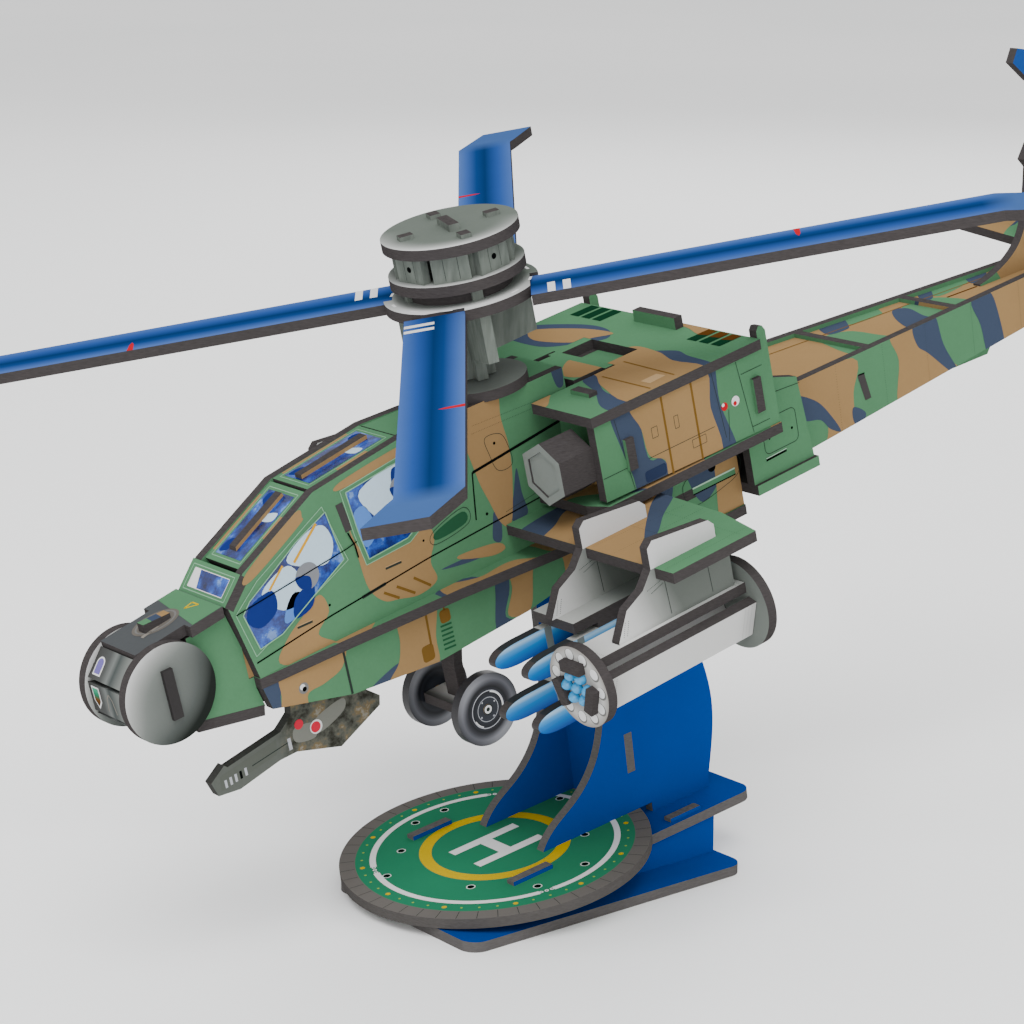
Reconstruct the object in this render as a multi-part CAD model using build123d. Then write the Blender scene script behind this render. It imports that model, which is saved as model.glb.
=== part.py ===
from build123d import *
import math
import os

# A slot-together board model of an attack helicopter on a board display stand.
# Millimetres, +X to the nose, +Y to port, +Z up, origin on the underside of the base plate.
# The helicopter and the upper stand are drawn level, in frames of their own, and then
# pitched nose-down onto the base plate.

# ---- driving dimensions -----------------------------------------------------
BOARD = 2.0                 # thickness of every board
PROUD = 0.8                 # how far a tab stands out of its slot

BASE_LENGTH, BASE_CORNER = 67.0, 3.5
BASE_PORT, BASE_STARBOARD = 25.0, 18.0            # the base reaches further to port
PAD_X, PAD_TOP = 8.5, 8.0   # middle of the helipad disc, and its height there
PAD_RADIUS, PAD_PITCH = 30.0, 8.3
DECK_REAR, DECK_FRONT, DECK_WIDTH, DECK_CORNER = -51.0, 12.0, 35.0, 3.0
WEDGE_Y, WEDGE_REAR = 16.5, -41.4
FIN_Y = 9.8

HELI_X, HELI_Z, HELI_PITCH = -8.54, 12.03, 13.3   # foot of the rotor axis

SIDE_Y = 7.4                # outer face of the hull sides
CHINE_TOP = 58.0
SILL_UNDER = CHINE_TOP - BOARD                    # underside of the chine plate
DECK_TOP, DECK_HALF = 84.6, 25.7                  # engine deck
FLOOR_TOP = 67.0                                  # nacelle floor
NACELLE_Y = 25.0
ENGINE_FRONT, ENGINE_REAR, NACELLE_REAR = -4.0, -46.0, -48.4
WING_TOP, WING_TIP = 64.0, 52.6
WELL_REAR, WELL_MIDDLE, WELL_HALF = -32.3, -24.6, 9.0
SPINE_REAR = -13.6          # rear end of the raised hull top
INNER_PYLON_Y, OUTER_PYLON_Y = 28.6, 46.8
POD_Y, POD_Z, POD_FRONT, POD_REAR = 45.0, 48.5, 23.5, -15.7
POD_FRONT_RADIUS, POD_REAR_RADIUS = 7.6, 8.6
POD_BOARD_TURN, POD_BOARD_HALF, POD_BOARD_OUT = 110, 3.7, 5.1
POD_TAB_LENGTH, POD_TAB_WIDTH = 3.5, 5.0
STARBOARD_EXTRA = 6.5       # the starboard wing and its stores reach further out
MISSILE_HALF_SPACING = 4.6
TURRET_X, TURRET_Z, TURRET_RADIUS, TURRET_Y = 80.4, 63.1, 9.0, 7.6
BELLY_TOP = 50.0
BELLY_BOTTOM = BELLY_TOP - BOARD

BOOM_ROOT_X, BOOM_ROOT_HALF = -60.4, 14.0
BOOM_TAIL_X, BOOM_TAIL_HALF = -146.0, 6.2
BOOM_ROOT_TOP, BOOM_ROOT_BOTTOM = 67.6, 52.8
BOOM_TAIL_TOP, BOOM_TAIL_BOTTOM = 62.3, 52.3

MAST_FOOT = 90.0            # top of the round base disc
HUB_LOW, HUB_MIDDLE, HUB_TOP = 107.4, 111.8, 118.8
BLADE_TOP = 106.8
BLADE_ROOT, BLADE_LENGTH = 12.6, 97.0
BLADE_ANGLE, MAST_ANGLE = 51.5, 70.0
PIN_RADIUS, PIN_CLEARANCE, TURN_GAP = 1.0, 0.05, 0.2

WHEEL_X, WHEEL_Z, WHEEL_RADIUS, WHEEL_Y = 18.5, 32.1, 7.0, 8.6
STABILISER_TOP = 68.0
TAIL_ROTOR_X, TAIL_ROTOR_Z, TAIL_ROTOR_RADIUS = -163.0, 96.0, 20.5

parts = {}


# ---- boards -------------------------------------------------------------------
def cut_board(points, thickness, direction):
    """A flat board: a closed outline, extruded along one direction."""
    return swept_board(Polyline(*points, close=True), thickness, direction)


def swept_board(outline, thickness, direction):
    """A closed outline, extruded along a unit direction."""
    return Solid.extrude(make_face(outline).face(), Vector(*direction) * thickness)


def side_board(points, y, thickness=BOARD):
    """A board in a vertical plane along the hull; its faces are at y and y + thickness."""
    return cut_board([(x, y, z) for x, z in points], thickness, (0, 1, 0))


def flat_board(points, top, thickness=BOARD):
    """A level board whose upper face is at top."""
    return cut_board([(x, y, top - thickness) for x, y in points], thickness, (0, 0, 1))


def cross_board(points, x, thickness=BOARD):
    """A board across the hull, from x to x + thickness."""
    return cut_board([(x, y, z) for y, z in points], thickness, (1, 0, 0))


def both_sides(half):
    """The full outline, mirrored about the centre line, of (along, half width) points."""
    return list(half) + [(along, -out) for along, out in reversed(half)]


def sloped_board(x0, z0, x1, z1, half_width):
    """A board between two cross lines; the given line is on its upper face."""
    length = math.hypot(x1 - x0, z1 - z0)
    down_x, down_z = (z1 - z0) / length * BOARD, -(x1 - x0) / length * BOARD
    if down_z > 0:
        down_x, down_z = -down_x, -down_z
    points = [(x0, z0), (x1, z1), (x1 + down_x, z1 + down_z), (x0 + down_x, z0 + down_z)]
    return side_board(points, -half_width, 2 * half_width)


def disc(radius, top, thickness=BOARD):
    """A round board about the vertical axis."""
    return Pos(0, 0, top - thickness / 2) * Cylinder(radius, thickness)


def wheel_disc(radius, x, y, z, thickness=BOARD):
    """A round board that faces sideways, with its outer face at y."""
    inward = -thickness / 2 if y > 0 else thickness / 2
    return Pos(x, y + inward, z) * Rot(90, 0, 0) * Cylinder(radius, thickness)


def block(x0, x1, y0, y1, z0, z1):
    """A tab or a slot."""
    size = Box(abs(x1 - x0), abs(y1 - y0), abs(z1 - z0))
    return Pos((x0 + x1) / 2, (y0 + y1) / 2, (z0 + z1) / 2) * size


def mirrored(shape):
    """The same piece on the other side."""
    return mirror(shape, about=Plane.XZ)


def add_pair(name, port_shape, frame, further_out=0.0):
    """Keep a port piece and its starboard twin, which may sit further out, as two nodes."""
    parts[name + "_left"] = frame * port_shape
    parts[name + "_right"] = frame * Pos(0, -further_out, 0) * mirrored(port_shape)


def group(*shapes):
    """Separate pieces that share one node."""
    solids = []
    for shape in shapes:
        solids += shape.solids()
    return Compound(solids)


def twins(shape):
    """A port piece and its starboard twin in one node."""
    return group(shape, mirrored(shape))


# ---- stand --------------------------------------------------------------------
def make_stand():
    base_middle = (BASE_PORT - BASE_STARBOARD) / 2
    base_outline = RectangleRounded(BASE_LENGTH, BASE_PORT + BASE_STARBOARD, BASE_CORNER)
    base = Pos(0, base_middle, BOARD / 2) * extrude(base_outline, BOARD / 2, both=True)
    parts["base_plate"] = base

    deck_middle = (DECK_REAR + DECK_FRONT) / 2
    deck = Pos(deck_middle, 0, -BOARD * 1.5) * extrude(
        RectangleRounded(DECK_FRONT - DECK_REAR, DECK_WIDTH, DECK_CORNER), BOARD / 2, both=True)
    pad = disc(PAD_RADIUS, 0)
    # tabs of the wedges: one pair shows on the pad, one pair on the deck behind it
    tabs = []
    for rear, front, top in ((-0.8, 8.6, PROUD), (-38.0, -30.3, -BOARD + PROUD)):
        for y in (-WEDGE_Y, WEDGE_Y - BOARD):
            tabs.append(block(rear, front, y, y + BOARD, -2 * BOARD, top))
    for tab in tabs:
        deck -= tab
        pad -= tab
    # the wedges stand on the base and are cut off along the sloping deck
    wedge = side_board([(WEDGE_REAR + PAD_X, BOARD), (WEDGE_REAR + PAD_X, 30), (40, 30), (40, BOARD)],
                       WEDGE_Y - BOARD)
    under_deck = PAD * block(-90, 60, -40, 40, -70, -2 * BOARD)
    wedge = wedge & under_deck
    port = wedge + PAD * tabs[1] + PAD * tabs[3]
    parts["stand_wedge_left"] = port - base
    parts["stand_wedge_right"] = mirrored(parts["stand_wedge_left"])
    parts["deck_plate"] = PAD * deck - base
    parts["helipad_disc"] = PAD * pad
    crosspiece = cross_board([(-FIN_Y + BOARD, 0.0), (FIN_Y - BOARD, 0.0), (FIN_Y - BOARD, 8.0),
                              (FIN_Y, 8.0), (FIN_Y, 16.2), (FIN_Y - BOARD, 16.2), (FIN_Y - BOARD, 26.0),
                              (-FIN_Y + BOARD, 26.0), (-FIN_Y + BOARD, 16.2), (-FIN_Y, 16.2),
                              (-FIN_Y, 8.0), (-FIN_Y + BOARD, 8.0)], -28.3)
    parts["fin_crosspiece"] = PAD * crosspiece
    parts["stand_fin_left"] = PAD * (make_fin() - crosspiece)
    parts["stand_fin_right"] = mirrored(parts["stand_fin_left"])


def make_fin():
    """An upright of the stand, up to the belly of the helicopter."""
    front = Spline((-4.0, 0), (-7.4, 3.6), (-13.0, 7.0), (-18.5, 12.5), (-21.5, 20.0), (-22.5, 30.0))
    rear = Spline((-43.5, 38.0), (-47.6, 25.0), (-49.2, 15.2), (-47.8, 5.2), (-46.4, 0.0))
    top = Polyline((-22.5, 30.0), (-22.5, 60.0), (-43.5, 60.0), (-43.5, 38.0))
    heel = Polyline((-46.4, 0.0), (-46.4, -BOARD), (-31.5, -BOARD), (-31.5, 0.0), (-4.0, 0.0))
    outline = Plane.XZ * (front + rear + top + heel)
    fin = Pos(0, FIN_Y - BOARD, 0) * swept_board(outline, BOARD, (0, 1, 0))
    # the fin ends under the belly plate, which is pitched a little more than the pad
    above_belly = HELI * block(-90, 60, -40, 40, BELLY_BOTTOM, 160)
    fin = fin - PAD.inverse() * above_belly
    return fin - disc(PAD_RADIUS, 0)


# ---- nose ---------------------------------------------------------------------
def make_nose():
    front, rear = TURRET_X, 66.0
    inner = TURRET_Y - BOARD
    slot = block(front - 1.0, front + 1.0, -TURRET_Y - PROUD, TURRET_Y + PROUD,
                 TURRET_Z - 4.6, TURRET_Z + 4.6)
    port_disc = wheel_disc(TURRET_RADIUS, front, TURRET_Y, TURRET_Z) - slot
    add_pair("turret_disc", port_disc, HELI)

    # front of the turret: three flat facets between the discs
    radius_out = TURRET_RADIUS - 0.5
    radius_in = radius_out - BOARD
    facets = []
    for low, high in ((-62, -25), (-20, 18), (23, 62)):
        corners = [polar(radius_out, low), polar(radius_out, high), polar(radius_in, high),
                   polar(radius_in, low)]
        facets.append(side_board([(front + x, TURRET_Z + z) for x, z in corners], -inner, 2 * inner))
    # the top plate slopes a little to the front, and is narrower between the discs
    plate_rear, plate_front = 66.8, 84.2
    sloped = sloped_board(plate_rear, 73.6, plate_front, 71.5, TURRET_Y)
    plan = flat_board(both_sides([(plate_rear, SIDE_Y), (73.8, SIDE_Y), (73.8, inner),
                                  (plate_front, inner)]),
                      90.0, 40.0)
    tab = block(73.5, 79.0, -1, 1, 68.0, 73.0 + PROUD)
    rib_form = Pos(front, 0, TURRET_Z) * Rot(90, 0, 0) * Cylinder(radius_in * 0.86, 2 * inner)
    plate = (sloped & plan) - tab
    parts["nose_top_plate"] = HELI * plate
    parts["turret_facets"] = HELI * group(*[facet - plate for facet in facets])

    # ribs inside the turret: two round ribs and the board that carries the discs
    under_plate = block(rear, front + 9, -9, 9, 50, 69.6)
    ribs = []
    for y in (-3.4, 1.4):
        ribs.append(rib_form & block(rear, front + 9, y, y + BOARD, 50, 69.6))
    carrier = slot - ribs[0] - ribs[1]
    parts["turret_ribs"] = HELI * group(ribs[0], ribs[1], carrier)

    floor = sloped_board(62.2, 52.2, 75.6, 55.0, inner)
    keel = side_board([(rear, 51.6), (75.0, 53.4), (75.0, 69.0), (79.0, 69.0), (79.0, 74.0), (rear, 74.0)],
                      -BOARD / 2)
    keel = keel & (under_plate + tab + block(rear, 79.0, -1, 1, 68.0, 71.0))
    keel = keel - floor - ribs[0] - ribs[1] - carrier - plate
    parts["nose_keel"] = HELI * group(keel, floor)
    cheek = side_board([(62.1, 51.9), (74.2, 54.4), (74.2, 70.2), (65.8, 71.2), (64.05, 64.0),
                        (64.05, 58.0), (63.05, 58.0), (63.05, 56.0)], inner - BOARD)
    parts["nose_cheeks"] = HELI * twins(cheek - floor - carrier - ribs[0] - ribs[1] - plate)


def polar(radius, degrees):
    """A point on a circle."""
    return radius * math.cos(math.radians(degrees)), radius * math.sin(math.radians(degrees))


# ---- hull ---------------------------------------------------------------------
CANOPY = [(66.0, 73.4), (61.5, 77.6), (44.4, 86.0), (23.6, 88.6), (9.6, 88.0), (SPINE_REAR, 88.0)]


def make_hull():
    sill = CHINE_TOP
    upper = side_board(CANOPY + [(SPINE_REAR, DECK_TOP - BOARD), (ENGINE_REAR + BOARD, DECK_TOP - BOARD),
                                 (ENGINE_REAR + BOARD, sill), (62.8, sill)], SIDE_Y - BOARD)
    lower = side_board([(62.8, sill - BOARD), (61.8, 51.6), (45.0, 47.0), (26.0, 45.0), (4.0, 46.0),
                        (-10.0, BELLY_BOTTOM), (-10.0, sill - BOARD)], SIDE_Y - BOARD)
    chine = flat_board(both_sides([(63.0, SIDE_Y), (44.0, 8.6), (20.0, 10.6), (0.0, 13.4), (-10.0, 14.0),
                                   (ENGINE_REAR + BOARD, 14.0)]), sill)
    # panels of the canopy, between the sides
    inner = SIDE_Y - BOARD
    windshield = sloped_board(66.4, 73.2, 62.0, 77.6, SIDE_Y)
    upper -= windshield
    front_panel = sloped_board(60.8, 77.6, 44.6, 85.7, inner)
    rear_panel = sloped_board(44.0, 86.0, 24.2, 88.5, inner)
    rear_panel -= front_panel
    spine = sloped_board(23.6, 88.3, 9.6, 88.0, inner)
    spine += flat_board(both_sides([(9.6, inner), (SPINE_REAR, inner)]), 88.0)
    spine -= rear_panel

    # bulkheads: nose, between the seats, behind the seats, and one below the rotor
    low, high = sill, 71.4
    bulkheads = [cross_board([(-inner, low), (inner, low), (inner, high), (-inner, high)], 62.0)]
    seat_tops = ((43.0, 83.0), (24.0, 85.0))
    for x, top in seat_tops:
        bulkheads.append(cross_board([(-inner, low), (inner, low), (inner, top), (-inner, top)], x))
    bulkheads.append(cross_board([(-inner, low), (inner, low), (inner, 85.6), (-inner, 85.6)], -1.0))
    for x in (56.0, 34.0, 10.0):
        bottom = 50.0 if x > 50 else 47.4
        bulkheads.append(cross_board([(-inner, bottom), (inner, bottom), (inner, low - BOARD),
                                      (-inner, low - BOARD)], x))
    frames = bulkheads[0]
    for bulkhead in bulkheads[1:]:
        frames += bulkhead
    # the tabs on the canopy are the tops of a centre board that stands on the chine plate
    centre = side_board([(57.5, low), (59.0, 74.0), (58.0, 79.0 + PROUD), (46.6, 84.7 + PROUD),
                         (45.2, 82.0), (45.2, low)], -BOARD / 2)
    centre += side_board([(42.0, low), (42.0, 86.25 + PROUD), (27.0, 88.15 + PROUD), (27.0, low)],
                         -BOARD / 2)
    centre -= frames
    front_panel -= centre
    rear_panel -= centre
    belly = sloped_board(60.0, 53.2, 46.0, 49.2, inner)
    belly += flat_board(both_sides([(46.0, inner), (-8.0, inner)]), 49.2)
    parts["windshield_panel"] = HELI * windshield
    parts["front_canopy_panel"] = HELI * front_panel
    parts["rear_canopy_panel"] = HELI * rear_panel
    return upper, lower, chine, frames, belly, spine, centre


# ---- engines --------------------------------------------------------------------
def make_engines(upper, lower, chine, frames, belly, spine, centre):
    side_in, side_out = NACELLE_Y - BOARD, NACELLE_Y
    under_deck = DECK_TOP - BOARD
    # two frames through the hull; their tabs show in the nacelle sides and in the deck
    engine_frames = []
    front_tabs = ((12.4, 17.6, PROUD), (-17.6, -12.4, PROUD))
    rear_tabs = ((-6.0, 6.0, BOARD + 0.4),)
    for x, tab_low, tab_high, deck_tabs in ((-12.7, 71.7, 77.8, front_tabs), (-44.7, 70.9, 77.7, rear_tabs)):
        frame = cross_board([(-side_in, FLOOR_TOP), (side_in, FLOOR_TOP), (side_in, under_deck),
                             (-side_in, under_deck)], x)
        frame += block(x, x + BOARD, -side_out - PROUD, side_out + PROUD, tab_low, tab_high)
        for y0, y1, proud in deck_tabs:
            frame += block(x, x + BOARD, y0, y1, under_deck, DECK_TOP + proud)
        engine_frames.append(frame - upper - mirrored(upper))
    both_frames = engine_frames[0] + engine_frames[1]

    # the side ends in a round lug that stands up behind the deck
    side = side_board([(ENGINE_FRONT - 0.8, FLOOR_TOP + 0.8), (ENGINE_FRONT - 0.8, under_deck),
                       (ENGINE_REAR, under_deck), (ENGINE_REAR, 86.0), (ENGINE_REAR - 0.6, 86.8),
                       (ENGINE_REAR - 1.6, 86.6), (NACELLE_REAR + 0.2, 85.6), (NACELLE_REAR, FLOOR_TOP)],
                      side_in)
    add_pair("nacelle_side", side - both_frames, HELI)
    # the deck has a well in the middle of its front, closed by a lower cover between the sides
    deck = flat_board(both_sides([(WELL_REAR, 6.7), (WELL_MIDDLE, 6.7), (WELL_MIDDLE, WELL_HALF),
                                  (ENGINE_FRONT, WELL_HALF), (ENGINE_FRONT, DECK_HALF),
                                  (ENGINE_REAR, DECK_HALF)]), DECK_TOP)
    parts["engine_deck"] = HELI * (deck - both_frames)
    cover = flat_board(both_sides([(SPINE_REAR - BOARD, SIDE_Y), (WELL_MIDDLE + BOARD, SIDE_Y)]), DECK_TOP)
    bar = block(WELL_MIDDLE, WELL_MIDDLE + BOARD, -8.4, 8.4, under_deck, DECK_TOP)
    well_floor = flat_board(both_sides([(WELL_MIDDLE, SIDE_Y - BOARD), (WELL_REAR - 2.0, SIDE_Y - BOARD)]),
                            under_deck)
    plates = [plate - both_frames for plate in (cover, bar, well_floor)]
    parts["spine_plates"] = HELI * group(spine, *plates)
    floor = flat_board(both_sides([(ENGINE_FRONT + 1.0, SIDE_Y), (ENGINE_FRONT + 1.0, 21.0),
                                   (ENGINE_FRONT - 1.0, 25.4), (NACELLE_REAR, 25.4), (NACELLE_REAR, 18.0),
                                   (BOOM_ROOT_X, 18.0)]), FLOOR_TOP)
    upper -= block(-90, ENGINE_FRONT + 1.0, -30, 30, FLOOR_TOP - BOARD, FLOOR_TOP)
    parts["nacelle_floor"] = HELI * floor
    parts["engine_frames"] = HELI * group(*engine_frames)

    # intakes: a hexagonal duct with a recessed grey face
    hexagon = [(21.6, 80.4), (25.2, 78.2), (25.2, 73.6), (21.4, 71.4), (17.6, 73.6), (17.6, 78.2)]
    hexagon = [(y - 3.2, z - 0.9) for y, z in hexagon]
    duct = cross_board(grown(hexagon, 1.6), ENGINE_FRONT - 0.8, 7.8)
    hollow = cross_board(hexagon, ENGINE_FRONT - 4.0, 14.0)
    face = cross_board(hexagon, 0.6)
    add_pair("intake", group(duct - hollow, face), HELI)

    # lower engine bay: a wider side behind the wing, and the rear cowls over the boom's root
    bay = side_board([(-10.0, BELLY_TOP), (-10.0, SILL_UNDER), (ENGINE_REAR + BOARD, SILL_UNDER),
                      (ENGINE_REAR + BOARD, BELLY_TOP)], 14.0)
    bay_top = side_board([(-19.5, CHINE_TOP), (-19.5, FLOOR_TOP - BOARD),
                          (ENGINE_REAR + BOARD, FLOOR_TOP - BOARD), (ENGINE_REAR + BOARD, CHINE_TOP)], 14.0)
    chine_wide = flat_board(both_sides([(-10.0, 16.0), (ENGINE_REAR + BOARD, 16.0)]), CHINE_TOP)
    parts["bay_sides"] = HELI * twins(group(bay, bay_top))
    parts["chine_plate"] = HELI * (chine + chine_wide)
    rear_belly = flat_board(both_sides([(-10.0, 16.4), (ENGINE_REAR + BOARD, 16.4)]), BELLY_TOP)
    cowl = side_board([(ENGINE_REAR + BOARD, BELLY_TOP + 4.6), (ENGINE_REAR + BOARD, FLOOR_TOP - BOARD),
                       (NACELLE_REAR, FLOOR_TOP - BOARD), (NACELLE_REAR, 75.0), (-58.5, 71.6),
                       (-60.0, BELLY_TOP + 4.6)],
                      18.0)
    cowl_floor = flat_board(both_sides([(ENGINE_REAR + BOARD, 20.8), (BOOM_ROOT_X, 20.8)]), BELLY_TOP + 4.6)
    parts["rear_cowls"] = HELI * group(twins(cowl), cowl_floor)

    add_pair("upper_side", upper - both_frames - frames, HELI)
    add_pair("lower_side", lower, HELI)
    parts["hull_frames"] = HELI * group(frames, centre)
    parts["belly_plates"] = HELI * group(belly - frames, rear_belly)


def grown(points, amount):
    """A convex outline moved outward from its middle."""
    middle_y = sum(y for y, z in points) / len(points)
    middle_z = sum(z for y, z in points) / len(points)
    result = []
    for y, z in points:
        distance = math.hypot(y - middle_y, z - middle_z)
        scale = (distance + amount) / distance
        result.append((middle_y + (y - middle_y) * scale, middle_z + (z - middle_z) * scale))
    return result


# ---- tail boom -------------------------------------------------------------------
def boom_block(inset):
    """The tapered outer form of the tail boom, less an inset on its sides."""
    plan = both_sides([(BOOM_ROOT_X, BOOM_ROOT_HALF - inset), (BOOM_TAIL_X, BOOM_TAIL_HALF - inset)])
    form = flat_board(plan, 80.0, 40.0)
    profile = side_board([(BOOM_ROOT_X, BOOM_ROOT_BOTTOM), (BOOM_ROOT_X, BOOM_ROOT_TOP),
                          (BOOM_TAIL_X, BOOM_TAIL_TOP), (BOOM_TAIL_X, BOOM_TAIL_BOTTOM)], -30.0, 60.0)
    return form & profile


def make_tail():
    outer, inner = boom_block(0.0), boom_block(BOARD)
    walls = outer - inner
    port = walls & block(-200, 0, 0, 40, 0, 100)
    add_pair("boom_side", port, HELI)
    top = sloped_board(BOOM_ROOT_X, BOOM_ROOT_TOP - 0.9, BOOM_TAIL_X, BOOM_TAIL_TOP - 0.9, 30.0)
    bottom = sloped_board(BOOM_ROOT_X, BOOM_ROOT_BOTTOM + BOARD, BOOM_TAIL_X, BOOM_TAIL_BOTTOM + BOARD, 30.0)
    fin = make_tail_fin()
    parts["boom_plates"] = HELI * group((top & inner) - fin, (bottom & inner) - fin)
    frames = None
    for x in (-64.0, -88.0, -116.0):
        frame = block(x, x + BOARD, -30, 30, BOOM_TAIL_BOTTOM - 1, BOOM_ROOT_TOP + 1) & inner
        frame = frame - top - bottom
        frames = frame if frames is None else frames + frame
    parts["boom_frames"] = HELI * (frames - fin)

    stabiliser = flat_board(both_sides([(-144.8, 1.2), (-148.9, 21.5), (-156.5, 21.5), (-158.0, 0.01)]),
                            STABILISER_TOP)
    parts["stabiliser"] = HELI * (stabiliser - fin)
    pin = wheel_disc(PIN_RADIUS, TAIL_ROTOR_X, 6.4, TAIL_ROTOR_Z, 6.4 + BOARD / 2)
    parts["tail_fin"] = HELI * (fin - pin)
    make_tail_rotor()
    return pin


def make_tail_fin():
    """The centre board of the tail: keel tab, swept fin and the arm that carries the rotor."""
    root = Polyline((-130.0, 61.4), (-118.0, 61.4), (-118.0, 54.6), (-119.0, 48.0), (-129.5, 47.4),
                    (-132.0, 50.2), (-150.0, 50.2), (-156.0, 62.0), (-166.0, 92.0), (-170.0, 112.0),
                    (-158.0, 112.0), (-152.5, 92.0))
    sweep = Spline((-152.5, 92.0), (-147.4, 76.0), (-143.0, 67.6), (-137.0, 64.3), (-130.0, 62.8))
    close = Polyline((-130.0, 62.8), (-130.0, 61.4))
    outline = Plane.XZ * (root + sweep + close)
    return Pos(0, -BOARD / 2, 0) * swept_board(outline, BOARD, (0, 1, 0))


def make_tail_rotor():
    """Two pairs of blades cut from one board, at a scissor angle, and a washer in front."""
    blade = side_board([(-3.2, 0.0), (-3.2, 14.0), (-1.6, TAIL_ROTOR_RADIUS), (1.6, TAIL_ROTOR_RADIUS),
                        (3.2, 14.0), (3.2, 0.0)], BOARD / 2 + TURN_GAP)
    rotor = None
    for angle in (-55, 55, 125, 235):
        turned = Rot(0, angle, 0) * blade
        rotor = turned if rotor is None else rotor + turned
    hub = wheel_disc(3.6, 0, BOARD / 2 + TURN_GAP + 2 * BOARD, 0)
    bore = wheel_disc(PIN_RADIUS + PIN_CLEARANCE, 0, 12.0, 0, 14.0)
    place = HELI * Pos(TAIL_ROTOR_X, 0, TAIL_ROTOR_Z)
    parts["tail_rotor"] = place * group(rotor - bore, hub - bore)


# ---- wings and stores -------------------------------------------------------------
def make_wings():
    inner_y, outer_y = INNER_PYLON_Y - BOARD / 2, OUTER_PYLON_Y - BOARD / 2
    wing = wing_board(WING_TIP)
    starboard_wing = wing_board(WING_TIP + STARBOARD_EXTRA)
    pylon_shape = [(4.6, 69.0), (5.9, 67.9), (5.9, WING_TOP), (8.4, 61.0), (12.6, 59.0), (15.4, 54.0)]
    inner = side_board(pylon_shape + [(-12.0, 54.0), (-12.0, 62.0), (-9.6, 62.0), (-9.6, 66.4),
                                      (-8.4, 67.6)], inner_y)
    outer = side_board(pylon_shape + [(15.4, 53.6), (-12.0, 53.6), (-12.0, 62.0), (-9.6, 62.0),
                                      (-9.6, 66.4), (-8.4, 67.6)], outer_y)
    further_pylons = Pos(0, STARBOARD_EXTRA, 0) * group(inner, outer)
    parts["wing_left"] = HELI * (wing - inner - outer)
    parts["wing_right"] = HELI * mirrored(starboard_wing - further_pylons)

    # rocket pod: two discs and three long boards in a triangle, tabbed through the front disc
    boards = []
    tabs = None
    for turn in (0, POD_BOARD_TURN, 360 - POD_BOARD_TURN):
        length = POD_FRONT - POD_REAR - 2 * BOARD
        board = Box(length, 2 * POD_BOARD_HALF, BOARD)
        tab = Pos(length / 2 + POD_TAB_LENGTH / 2, 0, 0) * Box(POD_TAB_LENGTH, POD_TAB_WIDTH, BOARD)
        place = (Pos((POD_FRONT + POD_REAR) / 2, POD_Y, POD_Z) * Rot(turn, 0, 0)
                 * Pos(0, 0, POD_BOARD_OUT - BOARD / 2))
        boards.append(place * (board + tab))
        tabs = place * tab if tabs is None else tabs + place * tab
    front = Pos(POD_FRONT - BOARD / 2, POD_Y, POD_Z) * Rot(0, 90, 0) * Cylinder(POD_FRONT_RADIUS, BOARD)
    rear = Pos(POD_REAR + BOARD / 2, POD_Y, POD_Z) * Rot(0, 90, 0) * Cylinder(POD_REAR_RADIUS, BOARD)
    add_pair("rocket_pod", group(front - tabs, rear, *boards), HELI, STARBOARD_EXTRA)
    outer = outer - block(-40, 40, 30, 60, 0, POD_Z + POD_BOARD_OUT)
    add_pair("pylons", group(inner, outer), HELI, STARBOARD_EXTRA)

    # missile launcher: two level plates on a web, and four missiles hung from them
    middle = INNER_PYLON_Y
    plate_high = flat_board([(14.4, middle - 5.6), (14.4, middle + 5.6), (-10.0, middle + 5.6),
                             (-10.0, middle - 5.6)], 54.0)
    plate_low = flat_board([(12.4, middle - 5.6), (12.4, middle + 5.6), (-8.0, middle + 5.6),
                            (-8.0, middle - 5.6)], 43.6)
    web = side_board([(10.0, 52.0), (10.0, 38.0), (-8.0, 38.0), (-8.0, 52.0)], middle - BOARD / 2)
    missiles = []
    for z, ceiling in ((48.8, 52.0), (38.4, 41.6)):
        for side in (-MISSILE_HALF_SPACING, MISSILE_HALF_SPACING):
            missiles.append(missile(middle + side - BOARD / 2, z, ceiling))
    add_pair("launcher", group(plate_high, plate_low - web, web, *missiles), HELI, STARBOARD_EXTRA)


def wing_board(tip):
    """One wing, from the hull side out to its tip."""
    return flat_board([(5.6, SIDE_Y), (5.0, tip), (-14.8, tip), (-17.5, tip - 11.6), (-18.6, 20.0),
                       (-18.6, SIDE_Y)], WING_TOP)


def missile(y, z, ceiling):
    """A flat missile with a round nose, hung by a tab from the plate above it."""
    half = 2.1
    nose, tail = 26.0, -4.0
    top = Line((tail, z + half), (nose - 6.0, z + half))
    round_nose = Spline((nose - 6.0, z + half), (nose, z), (nose - 6.0, z - half),
                        tangents=[(1, 0), (-1, 0)])
    bottom = Polyline((nose - 6.0, z - half), (tail, z - half), (tail, z + half))
    outline = Plane.XZ * (top + round_nose + bottom)
    body = Pos(0, y, 0) * swept_board(outline, BOARD, (0, 1, 0))
    return body + block(-2.0, 9.0, y, y + BOARD, z + half - 0.5, ceiling)


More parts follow.
